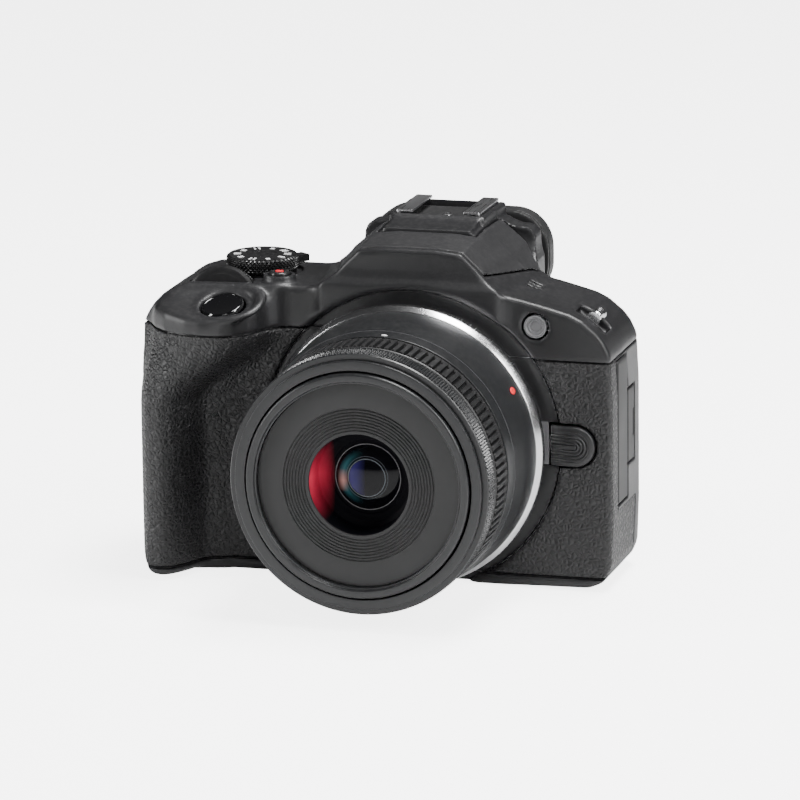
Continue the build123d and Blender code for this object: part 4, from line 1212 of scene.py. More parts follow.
# ================================================================ covers
@dataclass
class Covers:
    """The moulded covers, their leatherette and the flash hood, cut from the body's form.

    Attributes:
        step: Spacing of the sample points for the covers.
        fine: Spacing for the leatherette.
        wall: Thickness of the covers.
        skin: Thickness of the leatherette.
        gap: Clearance round what moves.
        arm_half: Half width of the fixed part between the hood's arms.
        band_back: Rear edge of the hood's band.
    """

    step: float = 0.42
    fine: float = 0.36
    wall: float = 2.2
    skin: float = 0.8
    gap: float = 0.3
    arm_half: float = 12.35
    band_back: float = 0.6

    def hood_zone(self, x: Array, y: Array, z: Array, gap: float) -> Array:
        """Room of the flash hood: a band across the front and an arm down each side.

        Args:
            x, y, z: Place, in millimetres.
            gap: Clearance added all round.

        Returns:
            Signed distance, below zero inside.
        """
        side = polygon(y, z,
                       [(-12.9 - gap, 75.3 - gap), (10.0, 72.4 - gap),
                        (HINGE[0], HINGE[1] - 7.6 - gap), (HINGE[0], 120.0), (-12.9 - gap, 120.0)])
        arm_end = np.sqrt((y - HINGE[0]) ** 2 + (z - HINGE[1]) ** 2) - 7.6 - gap
        middle = np.maximum(np.abs(x) - self.arm_half + gap, self.band_back + gap - y)
        return np.maximum(np.minimum(side, arm_end), -middle)

    def strap_pocket(self, x: Array, y: Array, z: Array, grow: float) -> Array:
        """The two slanting pockets for the strap lugs, or the bosses round them when grown.

        Args:
            x, y, z: Place, in millimetres.
            grow: How much larger the shape is than its piece.

        Returns:
            Signed distance, below zero inside.
        """
        out = None
        for sx, sy, sz, lean in STRAPS:
            a = math.radians(lean)
            u = (x - sx) * math.cos(a) - (z - sz) * math.sin(a)
            w = (x - sx) * math.sin(a) + (z - sz) * math.cos(a)
            d = box(u, y, w, (-4.4 - grow, sy - 3.2 - grow, -3.2 - grow),
                    (4.4 + grow, sy + 3.2 + grow, 3.2 + grow), 0.9)
            out = d if out is None else np.minimum(out, d)
        return out

    def top_cover(self) -> None:
        """The top cover: everything above the seams, cut for the hood, the dials and the shoe."""
        grid = Lattice((-68.0, -31.0, 54.8), (51.0, 31.2, 86.0), self.step)
        x, y, z = grid.axes()
        outside = FORM.whole(x, y, z)
        d = soft_max(outside, np.where(x < 0, GRIP_SEAM, FAR_SEAM) - z, 0.35)
        inner = np.minimum(FORM.torso(x, y, z), FORM.grip(x, y, z)) + self.wall
        inner = np.maximum(inner, -self.strap_pocket(x, y, z, 1.2))
        pod = cylinder(x, y, z, DIAL, DIAL_AXIS, 10.6, -4.3, 4.3)
        inner = np.maximum(inner, -pod)
        d = np.maximum(d, -inner)
        room = np.maximum(self.hood_zone(x, y, z, self.gap), -(outside + 1.9))
        d = soft_max(d, -room, 0.25)
        well = box(x, y, z, (-12.6, -13.2, 74.7), (12.6, 0.9, 99.0))
        pocket = np.maximum(np.sqrt((y - HINGE[0]) ** 2 + (z - HINGE[1]) ** 2) - 7.9,
                            12.2 - np.abs(x))
        shoe = box(x, y, z, (-10.4, 10.8, 80.6), (10.4, 29.3, 99.0))
        tunnel = box(x, y, z, (-9.0, 3.0, 64.0), (9.0, 60.0, 77.0), 0.5)
        behind = box(x, y, z, (-21.7, 15.2, 40.0), (21.7, 60.0, 59.0))
        lens = np.maximum(np.sqrt(x * x + (z - LENS_Z) ** 2) - 31.7, y - 3)
        lamp = np.maximum(np.sqrt((x - LAMP[0]) ** 2 + (z - LAMP[1]) ** 2) - 3.3, y + 12.6)
        for cut in (well, pocket, shoe, tunnel, behind, lens, lamp):
            d = soft_max(d, -cut, 0.3)
        d = soft_max(d, -self.strap_pocket(x, y, z, 0.0), 0.8)
        for slot_y in (-1.0, 1.0, 3.0):
            d = np.maximum(d,
                           -box(x, y, z, (24.9, slot_y - 0.4, 69.4), (28.7, slot_y + 0.4, 90.0),
                                0.35))
        low = SHUTTER - SHUTTER_UP * 8
        d = soft_max(d, -cylinder(x, y, z, low, SHUTTER_UP, 5.5, 0.0, 60.0), 0.4)
        d = soft_max(d, -cylinder(x, y, z, DIAL, DIAL_AXIS, 9.3, -2.8, 2.8), 0.3)
        d = np.maximum(d, -cylinder(x, y, z, DIAL, DIAL_AXIS, 1.3, -4.2, 4.2))
        up = (0.0, 0.0, 1.0)
        d = soft_max(d, -cylinder(x, y, z, (MODE[0], MODE[1], 69.9), up, 9.9, 0.0, 40.0), 0.3)
        d = np.maximum(d, -cylinder(x, y, z, (MODE[0], MODE[1], 60.0), up, 2.6, 0.0, 40.0))
        pod = cylinder(x, y, z, (MOVIE[0], MOVIE[1], TOP_Z - 1.2), up, 3.9, 0.0, 3.1)
        d = soft_min(d, pod, 1.4)
        d = soft_max(d, -cylinder(x, y, z, (MOVIE[0], MOVIE[1], 60.0), up, 2.8, 0.0, 40.0), 0.3)
        d = np.maximum(d,
                       -cylinder(x, y, z, (-200.0, 24.0, 64.0), (1.0, 0.0, 0.0), 1.3, 0.0, 184.0))
        settle(grid.surface("top_shell", d, 0.004), "body_satin", "root", "top_cover")

    def flash_hood(self) -> None:
        """The hood that swings up, with the flash head under its band."""
        grid = Lattice((-25.5, -13.6, 70.6), (25.5, 22.4, 84.4), 0.34)
        x, y, z = grid.axes()
        outside = soft_min(FORM.hump(x, y, z), FORM.torso(x, y, z), FORM.hump_blend)
        d = soft_max(outside, self.hood_zone(x, y, z, 0.0), 0.3)
        d = np.maximum(d, -(outside + 1.6))
        head = np.maximum(np.maximum(np.abs(x) - 12.0, y + 2.0), np.maximum(75.5 - z, -12.9 - y))
        slant = (y + 12.9) * math.cos(math.radians(35)) - (80.5 - z) * math.sin(math.radians(35))
        head = np.maximum(np.maximum(head, -slant), outside + 0.8)
        d = np.minimum(d, head)
        notch = np.sqrt((np.abs(x) - 19.9) ** 2 + (y + 11.6) ** 2 + (z - 75.4) ** 2) - 2.0
        d = soft_max(d, -notch, 0.5)
        for side in (-1.0, 1.0):
            pin = cylinder(x, y, z, (side * 10.4, *HINGE), (side, 0.0, 0.0), 1.2, 0.0, 4.6)
            d = np.minimum(d, pin)
        settle(grid.surface("flash_hood_shell", d, 0.004), "hood_grain", "flash",
                      "flash_hood")

    def leather_zone(self, x: Array, y: Array, z: Array) -> Array:
        """Where the leatherette lies: the grip and the front, round to the doors.

        Args:
            x, y, z: Place, in millimetres.

        Returns:
            Signed distance, below zero inside.
        """
        high = np.where(x < 0, GRIP_SEAM, FAR_SEAM) - 0.3
        d = np.maximum(z - high, 3.1 - z)
        wrap = np.where(x > 0, np.where(z < 18.6, 8.0, SEAM_Y + 0.1), SEAM_Y)
        d = np.maximum(d, y - wrap)
        lens = np.sqrt(x * x + (z - LENS_Z) ** 2)
        return np.maximum(d, FORM.cove_radius + 0.5 - lens)

    def release_cut(self, x: Array, y: Array, z: Array, grow: float) -> Array:
        """The opening of the lens release button: open to the lens, round outside.

        Args:
            x, y, z: Place, in millimetres.
            grow: How much larger the shape is than its piece.

        Returns:
            Signed distance, below zero inside.
        """
        u, w = x - RELEASE[0], z - RELEASE[1]
        half = RELEASE[2] + grow
        return np.maximum(np.sqrt(np.maximum(u, 0) ** 2 + w * w) - half,
                          np.maximum(y + 10.0, 25.0 - x))

    def leather(self, name: str, node: str, low: float, high: float) -> bpy.types.Object:
        """One piece of leatherette: a skin of the body's form with grain raised out of it.

        The grain is the difference of distances to the two nearest scattered points, so pebbles
        stand between thin creases.

        Args:
            name: Name of the piece.
            node: CAD node that it stands for.
            low: Lowest x of the piece.
            high: Highest x of the piece.

        Returns:
            The piece.
        """
        grid = Lattice((low - 0.5, -30.6, 2.4), (high + 0.8, -8.2 if low < 0 else 9.0, 61.6),
                       self.fine)
        x, y, z = grid.axes()
        outside = FORM.without_hump(x, y, z)
        zone = self.leather_zone(x, y, z)
        band = np.argwhere((np.abs(outside) < 0.8) & (zone < 0.8))
        points = band * self.fine + np.array(grid.low)
        relief = np.clip(cell_noise(points * (1.0, 1.0, 1.25), 1.15, 11) * 1.7, 0, 0.6)
        raised = np.zeros(outside.shape, np.float32)
        raised[tuple(band.T)] = 0.15 * (relief - 0.62)
        d = np.maximum(outside - raised, -(outside + self.skin))
        d = soft_max(d, zone, 0.4)
        d = np.maximum(d, -self.release_cut(x, y, z, 0.5))
        return settle(grid.surface(name, d, 0.0), "grip_leather", "root", node)

    def front_cover(self) -> None:
        """The front cover, recessed under the leatherette and hollow behind."""
        grid = Lattice((-68.0, -31.0, 2.0), (51.0, -8.6, 61.6), self.step)
        x, y, z = grid.axes()
        outside = FORM.without_hump(x, y, z)
        high = np.where(x < 0, GRIP_SEAM, FAR_SEAM) - SEAM_GAP
        d = soft_max(outside,
                     np.maximum(np.maximum(z - high, BASE_TOP + SEAM_GAP - z), y - SEAM_Y + 0.06),
                     0.3)
        d = np.maximum(d, -(outside + self.wall))
        under = np.maximum(self.leather_zone(x, y, z) - 0.12, -(outside + self.skin + 0.05))
        d = soft_max(d, -under, 0.2)
        lens = np.sqrt(x * x + (z - LENS_Z) ** 2)
        d = np.maximum(d, 31.7 - lens)
        d = np.maximum(d, -self.release_cut(x, y, z, 0.3))
        settle(grid.surface("front_shell", d, 0.01), "body_satin", "root", "front_cover")

    def rear_cover(self) -> None:
        """The rear cover with the screen's recess, the button holes and the sockets' block."""
        grid = Lattice((-68.0, -9.6, 2.0), (51.0, 16.8, 61.6), self.step)
        x, y, z = grid.axes()
        outside = FORM.torso(x, y, z)
        high = np.where(x < 0, GRIP_SEAM, FAR_SEAM) - SEAM_GAP
        d = soft_max(outside,
                     np.maximum(np.maximum(z - high, BASE_TOP + SEAM_GAP - z), SEAM_Y + 0.06 - y),
                     0.3)
        tray = box(x, y, z, (SCREEN[0] - 1.8, 8.2, SCREEN[2] - 1.8),
                   (SCREEN[1] + 1.8, 99, SCREEN[3] + 1.8))
        sockets = box(x, y, z, (42.5, -9.2, 18.5), (99, 8.2, 55.8))
        inside = np.maximum(np.maximum(outside + self.wall, -tray), -sockets)
        d = np.maximum(d, -inside)
        cuts = [box(x, y, z, (SCREEN[0] - 0.25, 9.7, SCREEN[2] - 0.25),
                    (SCREEN[1] + 0.25, 99, SCREEN[3] + 0.25), 1.6),
                box(x, y, z, (48.1, -9.0, 19.7), (99, 0.9, 55.1)),
                box(x, y, z, (48.1, 0.8, 27.7), (99, 7.7, 46.3)),
                box(x, y, z, (43.5, -7.4, 22.0), (99, 0.4, 53.0), 0.6),
                box(x, y, z, (43.5, 1.9, 30.0), (99, 6.6, 44.0), 0.6),
                box(x, y, z, (-21.7, 12.8, 58.8), (21.7, 99, 99))]
        for bx, bz, radius in REAR_BUTTONS.values():
            cuts.append(np.maximum(np.sqrt((x - bx) ** 2 + (z - bz) ** 2) - radius - 0.3, 3.0 - y))
        cuts.append(np.maximum(np.sqrt((x - PAD[0]) ** 2 + (z - PAD[1]) ** 2) - PAD[2] - 0.6,
                               3.0 - y))
        for cut in cuts:
            d = soft_max(d, -cut, 0.35)
        skin = np.maximum(self.leather_zone(x, y, z) - 0.12, -(outside + self.skin + 0.05))
        d = soft_max(d, -skin, 0.2)
        settle(grid.surface("rear_shell", d, 0.01), "body_satin", "root", "rear_cover")

    def base(self) -> None:
        """The bottom cover and the battery door let into it."""
        grid = Lattice((-68.0, -31.0, -0.6), (51.0, 16.8, 3.2), 0.34)
        x, y, z = grid.axes()
        outside = FORM.without_hump(x, y, z)
        door = BATTERY_DOOR
        d = soft_max(outside, z - BASE_TOP, 0.3)
        d = np.maximum(d, -(outside + self.wall))
        d = soft_max(d, -box(x, y, z, (door[0] - 0.3, door[2] - 0.3, -9),
                             (-24.1, door[3] + 0.3, 9)), 0.25)
        for y0 in (-12.0, 4.3):
            d = np.minimum(d, box(x, y, z, (-26.9, y0, 0.3), (-23.9, y0 + 1.7, BASE_TOP)))
        d = np.maximum(d, -np.maximum(np.sqrt(x * x + y * y) - 5.1, -1))
        for sx, sy in ((-12, 5), (14, -10), (14, 6), (37.6, 7), (37.6, -9)):
            r = np.sqrt((x - sx) ** 2 + (y - sy) ** 2)
            d = np.maximum(d, -np.maximum(r - 1.5, z - 0.9))
            d = np.maximum(d, 0.8 - r)
        settle(grid.surface("base_shell", d, 0.01), "body_satin", "root", "bottom_cover")

    def doors(self) -> None:
        """The two rubber covers of the sockets: slabs that follow the side, with a lifting lip."""
        for name, low, high, lip in (("terminal_cover_front", (48.25, -8.5, 20.0),
                                      (52.0, 0.6, 54.8), 1.6),
                                     ("terminal_cover_rear", (48.25, 1.2, 28.0), (52.0, 7.3, 46.0),
                                      6.5)):
            grid = Lattice((47.4, low[1] - 0.8, low[2] - 0.8), (50.4, high[1] + 0.8, high[2] + 0.8),
                           0.2)
            x, y, z = grid.axes()
            d = soft_max(box(x, y, z, low, high, 0.5), x - RIGHT_X + 0.05, 0.5)
            edge = np.sqrt((y - lip) ** 2 + (x - 50.4) ** 2) - 1.2
            d = soft_max(d, -np.maximum(edge, np.abs(z - (low[2] + high[2]) / 2) - 3.2), 0.3)
            settle(grid.surface(name.replace("terminal", "socket"), d, 0.004), "door_rubber", name,
                   name)

    def build(self) -> None:
        """Make every cover."""
        self.top_cover()
        self.flash_hood()
        self.leather("grip_leather_skin", "grip_skin", LEFT_X, -14.0)
        self.leather("front_leather_skin", "front_skin", 14.0, RIGHT_X)
        self.front_cover()
        self.rear_cover()
        self.base()
        self.doors()


# ================================================================ the lens
@dataclass
class Lens:
    """The retracting zoom lens, turned about its own axis from the mount to the front rim.

    Attributes:
        steps: Points round a smooth ring.
        bars: Bars round the zoom ring.
        diamonds: Pyramids round the control ring.
    """

    steps: int = 256
    bars: int = 104
    diamonds: int = 140

    def ring(self, name: str, corners: Sequence[tuple[float, float, float]], steps: int = 0,
             relief: Optional[Callable[[Array, Array], Array]] = None) -> bpy.types.Object:
        """A ring on the lens axis from its outline of (y, radius, rounding)."""
        profile = rounded(corners)
        return turned(name, profile, LENS_BASE, ALONG_Y, steps or self.steps, relief)

    def fixed_barrel(self) -> None:
        """Bright mount collar, satin cone with its shoulder, and the fixed rim at the front."""
        settle(self.ring("mount_collar",
                         [(-18.05, 31.4, 0), (-18.05, 33.4, 0.2), (-20.0, 34.45, 0.5),
                          (-21.9, 34.45, 0.5), (-23.5, 33.3, 0.15), (-23.5, 32.6, 0),
                          (-20.6, 31.4, 0)]), "mount_bright", "root")
        body = self.ring("fixed_barrel",
                         [(-22.35, 27.5, 0), (-22.35, 32.4, 0), (-23.6, 32.6, 0),
                          (-23.6, 33.2, 0.2), (-31.0, 32.9, 1.5), (-36.2, 32.2, 0.3),
                          (-42.85, 31.55, 0.2), (-42.85, 29.3, 0), (-60.3, 29.3, 0),
                          (-60.3, 29.85, 0.2), (-61.3, 29.85, 0.25), (-61.3, 27.4, 0.2),
                          (-59.5, 27.4, 0), (-59.5, 28.2, 0), (-23.4, 28.2, 0), (-23.4, 27.5, 0)])
        settle(body, "barrel_satin", "root", "rear_barrel")

    def rings(self) -> None:
        """The zoom ring with its straight bars and the control ring with its diamonds."""
        def band(name: str, y0: float, y1: float, depth: float, rows: int, steps: int,
                 relief: Callable[[Array, Array], Array]) -> bpy.types.Object:
            """A ring whose outer band is cut by a relief and whose edges stay plain.

            Args:
                name: Name of the piece.
                y0: Rear end.
                y1: Front end.
                depth: Depth of the relief.
                rows: Rows along the band.
                steps: Points round it.
                relief: Height at a distance along the axis and an angle.

            Returns:
                The piece.
            """
            outer = np.stack([np.linspace(y0 - 0.75, y1 + 0.75, rows), np.full(rows, 31.5)], 1)
            edge = [(y0 - 0.7, 31.5 - depth), (y0 - 0.3, 31.32), (y0, 31.1), (y0, 29.7), (y1, 29.7),
                    (y1, 31.1), (y1 + 0.3, 31.32), (y1 + 0.7, 31.5 - depth)]
            profile = np.concatenate([outer, np.array(edge[::-1])])
            return turned(name, profile, LENS_BASE, ALONG_Y, steps,
                          within(relief, y1 + 0.72, y0 - 0.72), 50.0)
        zoom = band("zoom_ring_bars", -43.2, -53.2, 0.7, 6, self.bars * 8,
                    ribs(self.bars, 0.62, 1.1))
        settle(zoom, "barrel_matt", "zoom_ring", "zoom_ring")
        control = band("control_ring_diamonds", -53.5, -60.2, 0.7, 56, self.diamonds * 6,
                       knurl(self.diamonds, 1.4, 0.8))
        settle(control, "barrel_satin", "control_ring", "control_ring")

    def inner(self) -> None:
        """The sliding inner barrel with its flat rim, and the grooved name ring."""
        barrel = self.ring("inner_barrel_tube",
                           [(-38.0, 25.4, 0), (-38.0, 27.0, 0.3), (-61.9, 27.0, 0.3),
                            (-62.3, 26.6, 0.2), (-62.3, 25.1, 0.2), (-61.6, 24.8, 0.2),
                            (-61.6, 24.52, 0.1), (-60.35, 24.52, 0), (-60.35, 25.4, 0)])
        settle(barrel, "barrel_satin", "inner_barrel", "inner_barrel")
        grooves: list[tuple[float, float, float]] = [(-60.4, 24.45, 0.1)]
        for k in range(8):
            r = 18.4 - k * 0.72
            grooves += [(-60.4, r, 0.08), (-60.12, r - 0.12, 0.05), (-60.12, r - 0.34, 0.05),
                        (-60.4, r - 0.46, 0.08)]
        grooves += [(-60.4, 12.15, 0.1), (-59.9, 12.1, 0), (-59.9, 12.9, 0), (-57.0, 12.9, 0),
                    (-57.0, 24.0, 0), (-59.6, 24.3, 0)]
        settle(self.ring("name_ring_plain", grooves), "barrel_matt", "inner_barrel", "name_ring")

    def lens_shape(self, name: str, front: float, radius: float, front_bulge: float, rear: float,
                   rear_bulge: float) -> bpy.types.Object:
        """A lens on the axis: each face is its edge plus bulge times (1 - r^2 / radius^2).

        Args:
            name: Name of the piece.
            front: Where the edge of the front face lies.
            radius: Radius.
            front_bulge: How far the front face bulges.
            rear: Where the edge of the rear face lies.
            rear_bulge: How far the rear face bulges.

        Returns:
            The piece.
        """
        share = np.linspace(0, 1, 22)
        ahead = np.stack([front - front_bulge * (1 - share ** 2), share * radius], 1)
        behind = np.stack([rear + rear_bulge * (1 - share ** 2), share * radius], 1)[::-1]
        return turned(name, np.concatenate([ahead, behind]), LENS_BASE, ALONG_Y, 128)

    def glass(self) -> None:
        """The domed front element and the black throat in front of it, both with painted
        reflections, and the grey rim round it.
        """
        # The front element's colours are painted reflections and painted highlight rings.
        settle(self.lens_shape("front_element_dome", -52.2, 7.75, 1.7, -50.6, 0.0), "front_painted_reflections",
               "inner_barrel", "front_element")
        throat = self.ring("throat",
                           [(-59.85, 12.12, 0), (-53.4, 11.9, 0.4), (-52.4, 10.6, 0.3),
                            (-52.4, 9.0, 0.2), (-51.9, 8.7, 0.1), (-51.9, 7.85, 0),
                            (-50.2, 7.85, 0), (-50.2, 12.85, 0), (-59.85, 12.85, 0)], 256)
        # The red band on the throat's left is a painted reflection.
        settle(throat, "throat_painted_reflection", "inner_barrel")
        rim = self.ring("front_element_rim",
                        [(-51.95, 8.05, 0), (-52.25, 8.0, 0.03), (-52.25, 7.8, 0.03),
                         (-51.95, 7.75, 0)], 128)
        settle(rim, "rim_grey", "inner_barrel")

    def marks(self) -> None:
        """The red mounting mark, the white index dots and the thin grey line round the barrel."""
        line = self.ring("index_line",
                         [(-38.6, 31.3, 0), (-38.6, 32.03, 0), (-38.72, 32.02, 0),
                          (-38.72, 31.3, 0)])
        settle(line, "rim_grey", "root")
        # The red marks are real print with a faint painted glow.
        settle(self.spot("mount_mark", 60.0, -27.6, 32.95, 0.95, 1.6, 0.35), "red_print_painted_glow", "root")
        for k, (angle, y, half) in enumerate(((2.5, -41.9, 0.75), (4.5, -39.2, 0.28))):
            settle(self.spot(f"index_dot_{k}", angle, y, 31.75, half, 0.28, 0.14), "white_print",
                   "root")
        settle(self.spot("stop_mark", 60.0, -60.2, 24.9, 0.9, 0.35, 0.1), "red_print_painted_glow",
               "inner_barrel")

    def spot(self, name: str, degrees: float, y: float, radius: float, along: float, across: float,
             height: float) -> bpy.types.Object:
        """A small raised oval on the barrel, standing straight out from the axis.

        Point (r, a) of the oval has height (1 - r^4) above the barrel.

        Args:
            name: Name of the piece.
            degrees: Angle from the top, towards +X.
            y: Place along the axis.
            radius: Radius of the barrel there.
            along: Half length round the barrel.
            across: Half width along the axis.
            height: How far it stands out.

        Returns:
            The piece.
        """
        a = math.radians(degrees)
        out = np.array((math.sin(a), 0.0, math.cos(a)))
        tangent = np.array((math.cos(a), 0.0, -math.sin(a)))
        r = np.linspace(0, 1, 6)[:, None]
        t = (np.arange(32) * (2 * math.pi / 32))[None, :]
        u, v = r * along * np.cos(t), r * across * np.sin(t)
        w = height * (1 - r ** 4)
        flat = (np.array((0.0, y, LENS_Z)) + out * radius + u[..., None] * tangent
                + v[..., None] * np.array(ALONG_Y))
        top, low = flat + w[..., None] * out, flat - 0.35 * out
        points = np.concatenate([top, low[::-1]]).reshape(-1, 3)
        piece = write_mesh(name, points, sheet_quads(12, 32, False, True))
        merge(piece)
        return piece

    def build(self) -> None:
        """Make the lens."""
        self.fixed_barrel()
        self.rings()
        self.inner()
        self.glass()
        self.marks()


# ================================================================ controls, shoe and small parts
@dataclass
class Controls:
    """Buttons, dials and the dioptre knob.

    Attributes:
        steps: Points round a button.
        dial_teeth: Pyramids round the dials.
    """

    steps: int = 96
    dial_teeth: int = 52

    def shutter(self) -> None:
        """The shutter button: a dished, glossy cap on its stem."""
        r = np.linspace(0, 1, 12)
        dish = np.stack([-0.05 - 0.28 * (1 - r ** 2), r * 4.5], 1)
        side = rounded([(-0.02, 4.9, 0.3), (-0.55, 5.18, 0.3), (-2.2, 5.18, 0.1), (-2.2, 1.5, 0),
                        (-5.0, 1.5, 0.1)])
        profile = np.concatenate([dish, side, [[-5.0, 0.0]]])
        cap = turned("shutter_cap", profile, SHUTTER, SHUTTER_UP, self.steps)
        settle(cap, "button_gloss", "shutter_button", "shutter_button")

    def main_dial(self) -> None:
        """The main dial: smooth front face inside a knurled rim."""
        rim = np.stack([np.linspace(2.1, -2.1, 22), np.full(22, 9.0)], 1)
        profile = np.concatenate([[[2.1, 0.0], [2.1, 5.0]],
                                  rounded([(2.3, 6.6, 0.4), (2.5, 7.6, 0.4), (2.5, 8.45, 0.3)]),
                                  rim, rounded([(-2.5, 8.4, 0.2), (-2.5, 1.2, 0), (-4.1, 1.2, 0)]),
                                  [[-4.1, 0.0]]])
        relief = within(knurl(self.dial_teeth, 1.05, 0.6), -2.05, 2.05)
        dial = turned("main_dial_knurled", profile, DIAL, DIAL_AXIS, self.dial_teeth * 6, relief,
                      55.0)
        settle(dial, "dial_semi_gloss", "main_dial", "main_dial")

    def mode_dial(self) -> None:
        """The mode dial: dished top with a knurled rim, and plain white marks round it."""
        rim = np.stack([np.linspace(0.35, 3.05, 18), np.full(18, 8.8)], 1)
        foot = np.array([[-1.6, 0.0], [-1.6, 2.5], [0.0, 2.5], [0.0, 8.3]])
        top = rounded([(3.5, 8.35, 0.25), (3.3, 7.6, 0.2), (3.42, 4.4, 0.6), (3.2, 3.6, 0.4)])
        profile = np.concatenate([foot, rim, top, [[3.05, 0.0]]])
        relief = within(knurl(self.dial_teeth, 1.05, 0.55), 0.3, 3.1)
        base = (MODE[0], MODE[1], 71.3)
        dial = turned("mode_dial_knurled", profile, base, UPRIGHT, self.dial_teeth * 6, relief,
                      55.0)
        settle(dial, "dial_semi_gloss", "mode_dial", "mode_dial")
        settle(self.dial_marks(), "white_print", "mode_dial")

    def dial_marks(self) -> bpy.types.Object:
        """Plain marks on the mode dial: short bars and squares, each a thin raised plate.

        Plate k stands at angle 2 pi k / 10; its corners are the centre plus half sizes along the
        radius and across it.

        Returns:
            The piece.
        """
        sizes = [(0.85, 0.3), (0.85, 0.3), (0.6, 0.6), (0.9, 0.22), (0.6, 0.75), (0.85, 0.3),
                 (0.7, 0.7), (0.9, 0.22), (0.6, 0.6), (0.85, 0.55)]
        corner = np.array([(-1, -1), (1, -1), (1, 1), (-1, 1)], float)
        points, quads = [], []
        cube = np.array([(0, 1, 2, 3), (7, 6, 5, 4), (0, 4, 5, 1), (1, 5, 6, 2), (2, 6, 7, 3),
                         (3, 7, 4, 0)])
        for k, (half_out, half_side) in enumerate(sizes):
            a = 2 * math.pi * k / len(sizes) + 0.2
            out, side = np.array((math.cos(a), math.sin(a))), np.array((-math.sin(a), math.cos(a)))
            for share in ((-0.55, 0.55) if half_side < 0.5 else (0.0,)):
                flat = (np.array(MODE) + out * 6.1 + side * share
                        + corner[:, :1] * half_out * out + corner[:, 1:] * half_side * 0.8 * side)
                both = [np.column_stack([flat, np.full(4, h)]) for h in (74.5, 74.78)]
                quads.append(cube + len(points) * 8)
                points.append(np.concatenate(both))
        return write_mesh("mode_dial_marks", np.concatenate(points), np.concatenate(quads),
                          crease=20.0)

    def small_buttons(self) -> None:
        """The movie button with its red dot, and the five rear buttons."""
        z0 = 68.8
        profile = capped(0.0, [(0.0, 2.5, 0), (4.6, 2.5, 0.5), (4.85, 1.9, 0.3), (4.75, 1.1, 0.2)],
                         4.75)
        button = turned("movie_button_cap", profile, (*MOVIE, z0), UPRIGHT, 64)
        settle(button, "dial_semi_gloss", "movie_button", "movie_button")
        dot = np.array([[4.6, 0.0], [4.6, 1.0], [4.86, 1.0], [4.93, 0.8], [4.95, 0.0]])
        settle(turned("movie_dot", dot, (*MOVIE, z0), UPRIGHT, 48), "red_dot", "movie_button")
        for name, (bx, bz, radius) in REAR_BUTTONS.items():
            cap = capped(-2.8, [(-2.8, radius, 0), (0.45, radius, 0.35), (0.7, radius - 0.5, 0.3),
                                (0.58, radius - 1.2, 0.2)], 0.55)
            piece = turned(name + "_cap", cap, (bx, BACK_Y, bz), ALONG_Y, 56)
            settle(piece, "dial_semi_gloss", name, name)

    def pad(self) -> None:
        """The cross pad, a dished ring notched at its diagonals, and its set button."""
        def petals(along: Array, a: Array) -> Array:
            """Gentle notches at the four diagonals of the rim."""
            return -0.25 * np.clip(np.abs(np.sin(2 * a)) - 0.75, 0, 1) * (along > 0.3)
        ring = rounded([(-2.7, 7.95, 0), (0.75, 7.95, 0.3), (1.0, 7.3, 0.3), (0.55, 5.4, 0.6),
                        (0.7, 4.3, 0.2), (-2.7, 4.3, 0)])
        piece = turned("cross_pad_ring", ring, (PAD[0], BACK_Y, PAD[1]), ALONG_Y, self.steps,
                       petals)
        settle(piece, "dial_semi_gloss", "cross_pad", "cross_pad")
        cap = capped(-3.5, [(-3.5, 3.38, 0), (0.9, 3.38, 0.3), (1.2, 2.9, 0.3)], 1.05)
        settle(turned("set_button_cap", cap, (PAD[0], BACK_Y, PAD[1]), ALONG_Y, 64),
               "dial_semi_gloss", "set_button", "set_button")

    def release(self) -> None:
        """The lens release button: a tongue-shaped cap with grooves that echo its outline."""
        half = RELEASE[2]
        grid = Lattice((RELEASE[0] - 6.2, -17.0, RELEASE[1] - 6.2),
                       (RELEASE[0] + 6.2, -10.4, RELEASE[1] + 6.2), 0.12)
        x, y, z = grid.axes()
        u, w = x - RELEASE[0], z - RELEASE[1]
        flat = np.sqrt(np.maximum(u, 0) ** 2 + w * w) - half
        crown = -16.15 + 0.017 * (u * u + w * w)
        ripple = np.clip(1 - np.abs((flat % 0.8) - 0.4) / 0.3, 0,
                         1) * ((flat > -4.4) & (flat < -1.3))
        d = soft_max(np.maximum(flat, -6.0 - u), crown + 0.32 * ripple - y, 0.6)
        d = np.maximum(d, y + 13.6)
        stem = np.maximum(np.sqrt(u * u + (z - LENS_Z) ** 2) - 1.2, np.maximum(y + 11.2, -14.0 - y))
        d = np.minimum(d, stem)
        settle(grid.surface("release_cap", d, 0.002), "body_satin", "release_button",
               "release_button")

    def dioptre(self) -> None:
        """The dioptre knob beside the eyepiece, with a ribbed rim."""
        profile = capped(0.0, [(0.0, 3.3, 0), (1.6, 3.3, 0.2), (1.9, 2.9, 0.2), (1.7, 1.6, 0.2)],
                         1.7)
        relief = within(ribs(24, 0.5, 0.25), 0.1, 1.6)
        knob = turned("dioptre_wheel", profile, (-21.8, 24.0, 64.0), (-1, 0, 0), 192, relief, 50.0)
        settle(knob, "dial_semi_gloss", "dioptre_knob")
        stem = turned("dioptre_stem", np.array([[-4.5, 0.0], [-4.5, 1.2], [0.1, 1.2], [0.1, 0.0]]),
                      (-21.8, 24.0, 64.0), (-1, 0, 0), 32)
        settle(stem, "dial_semi_gloss", "dioptre_knob", "dioptre_knob")

    def build(self) -> None:
        """Make every control."""
        self.shutter()
        self.main_dial()
        self.mode_dial()
        self.small_buttons()
        self.pad()
        self.release()
        self.dioptre()


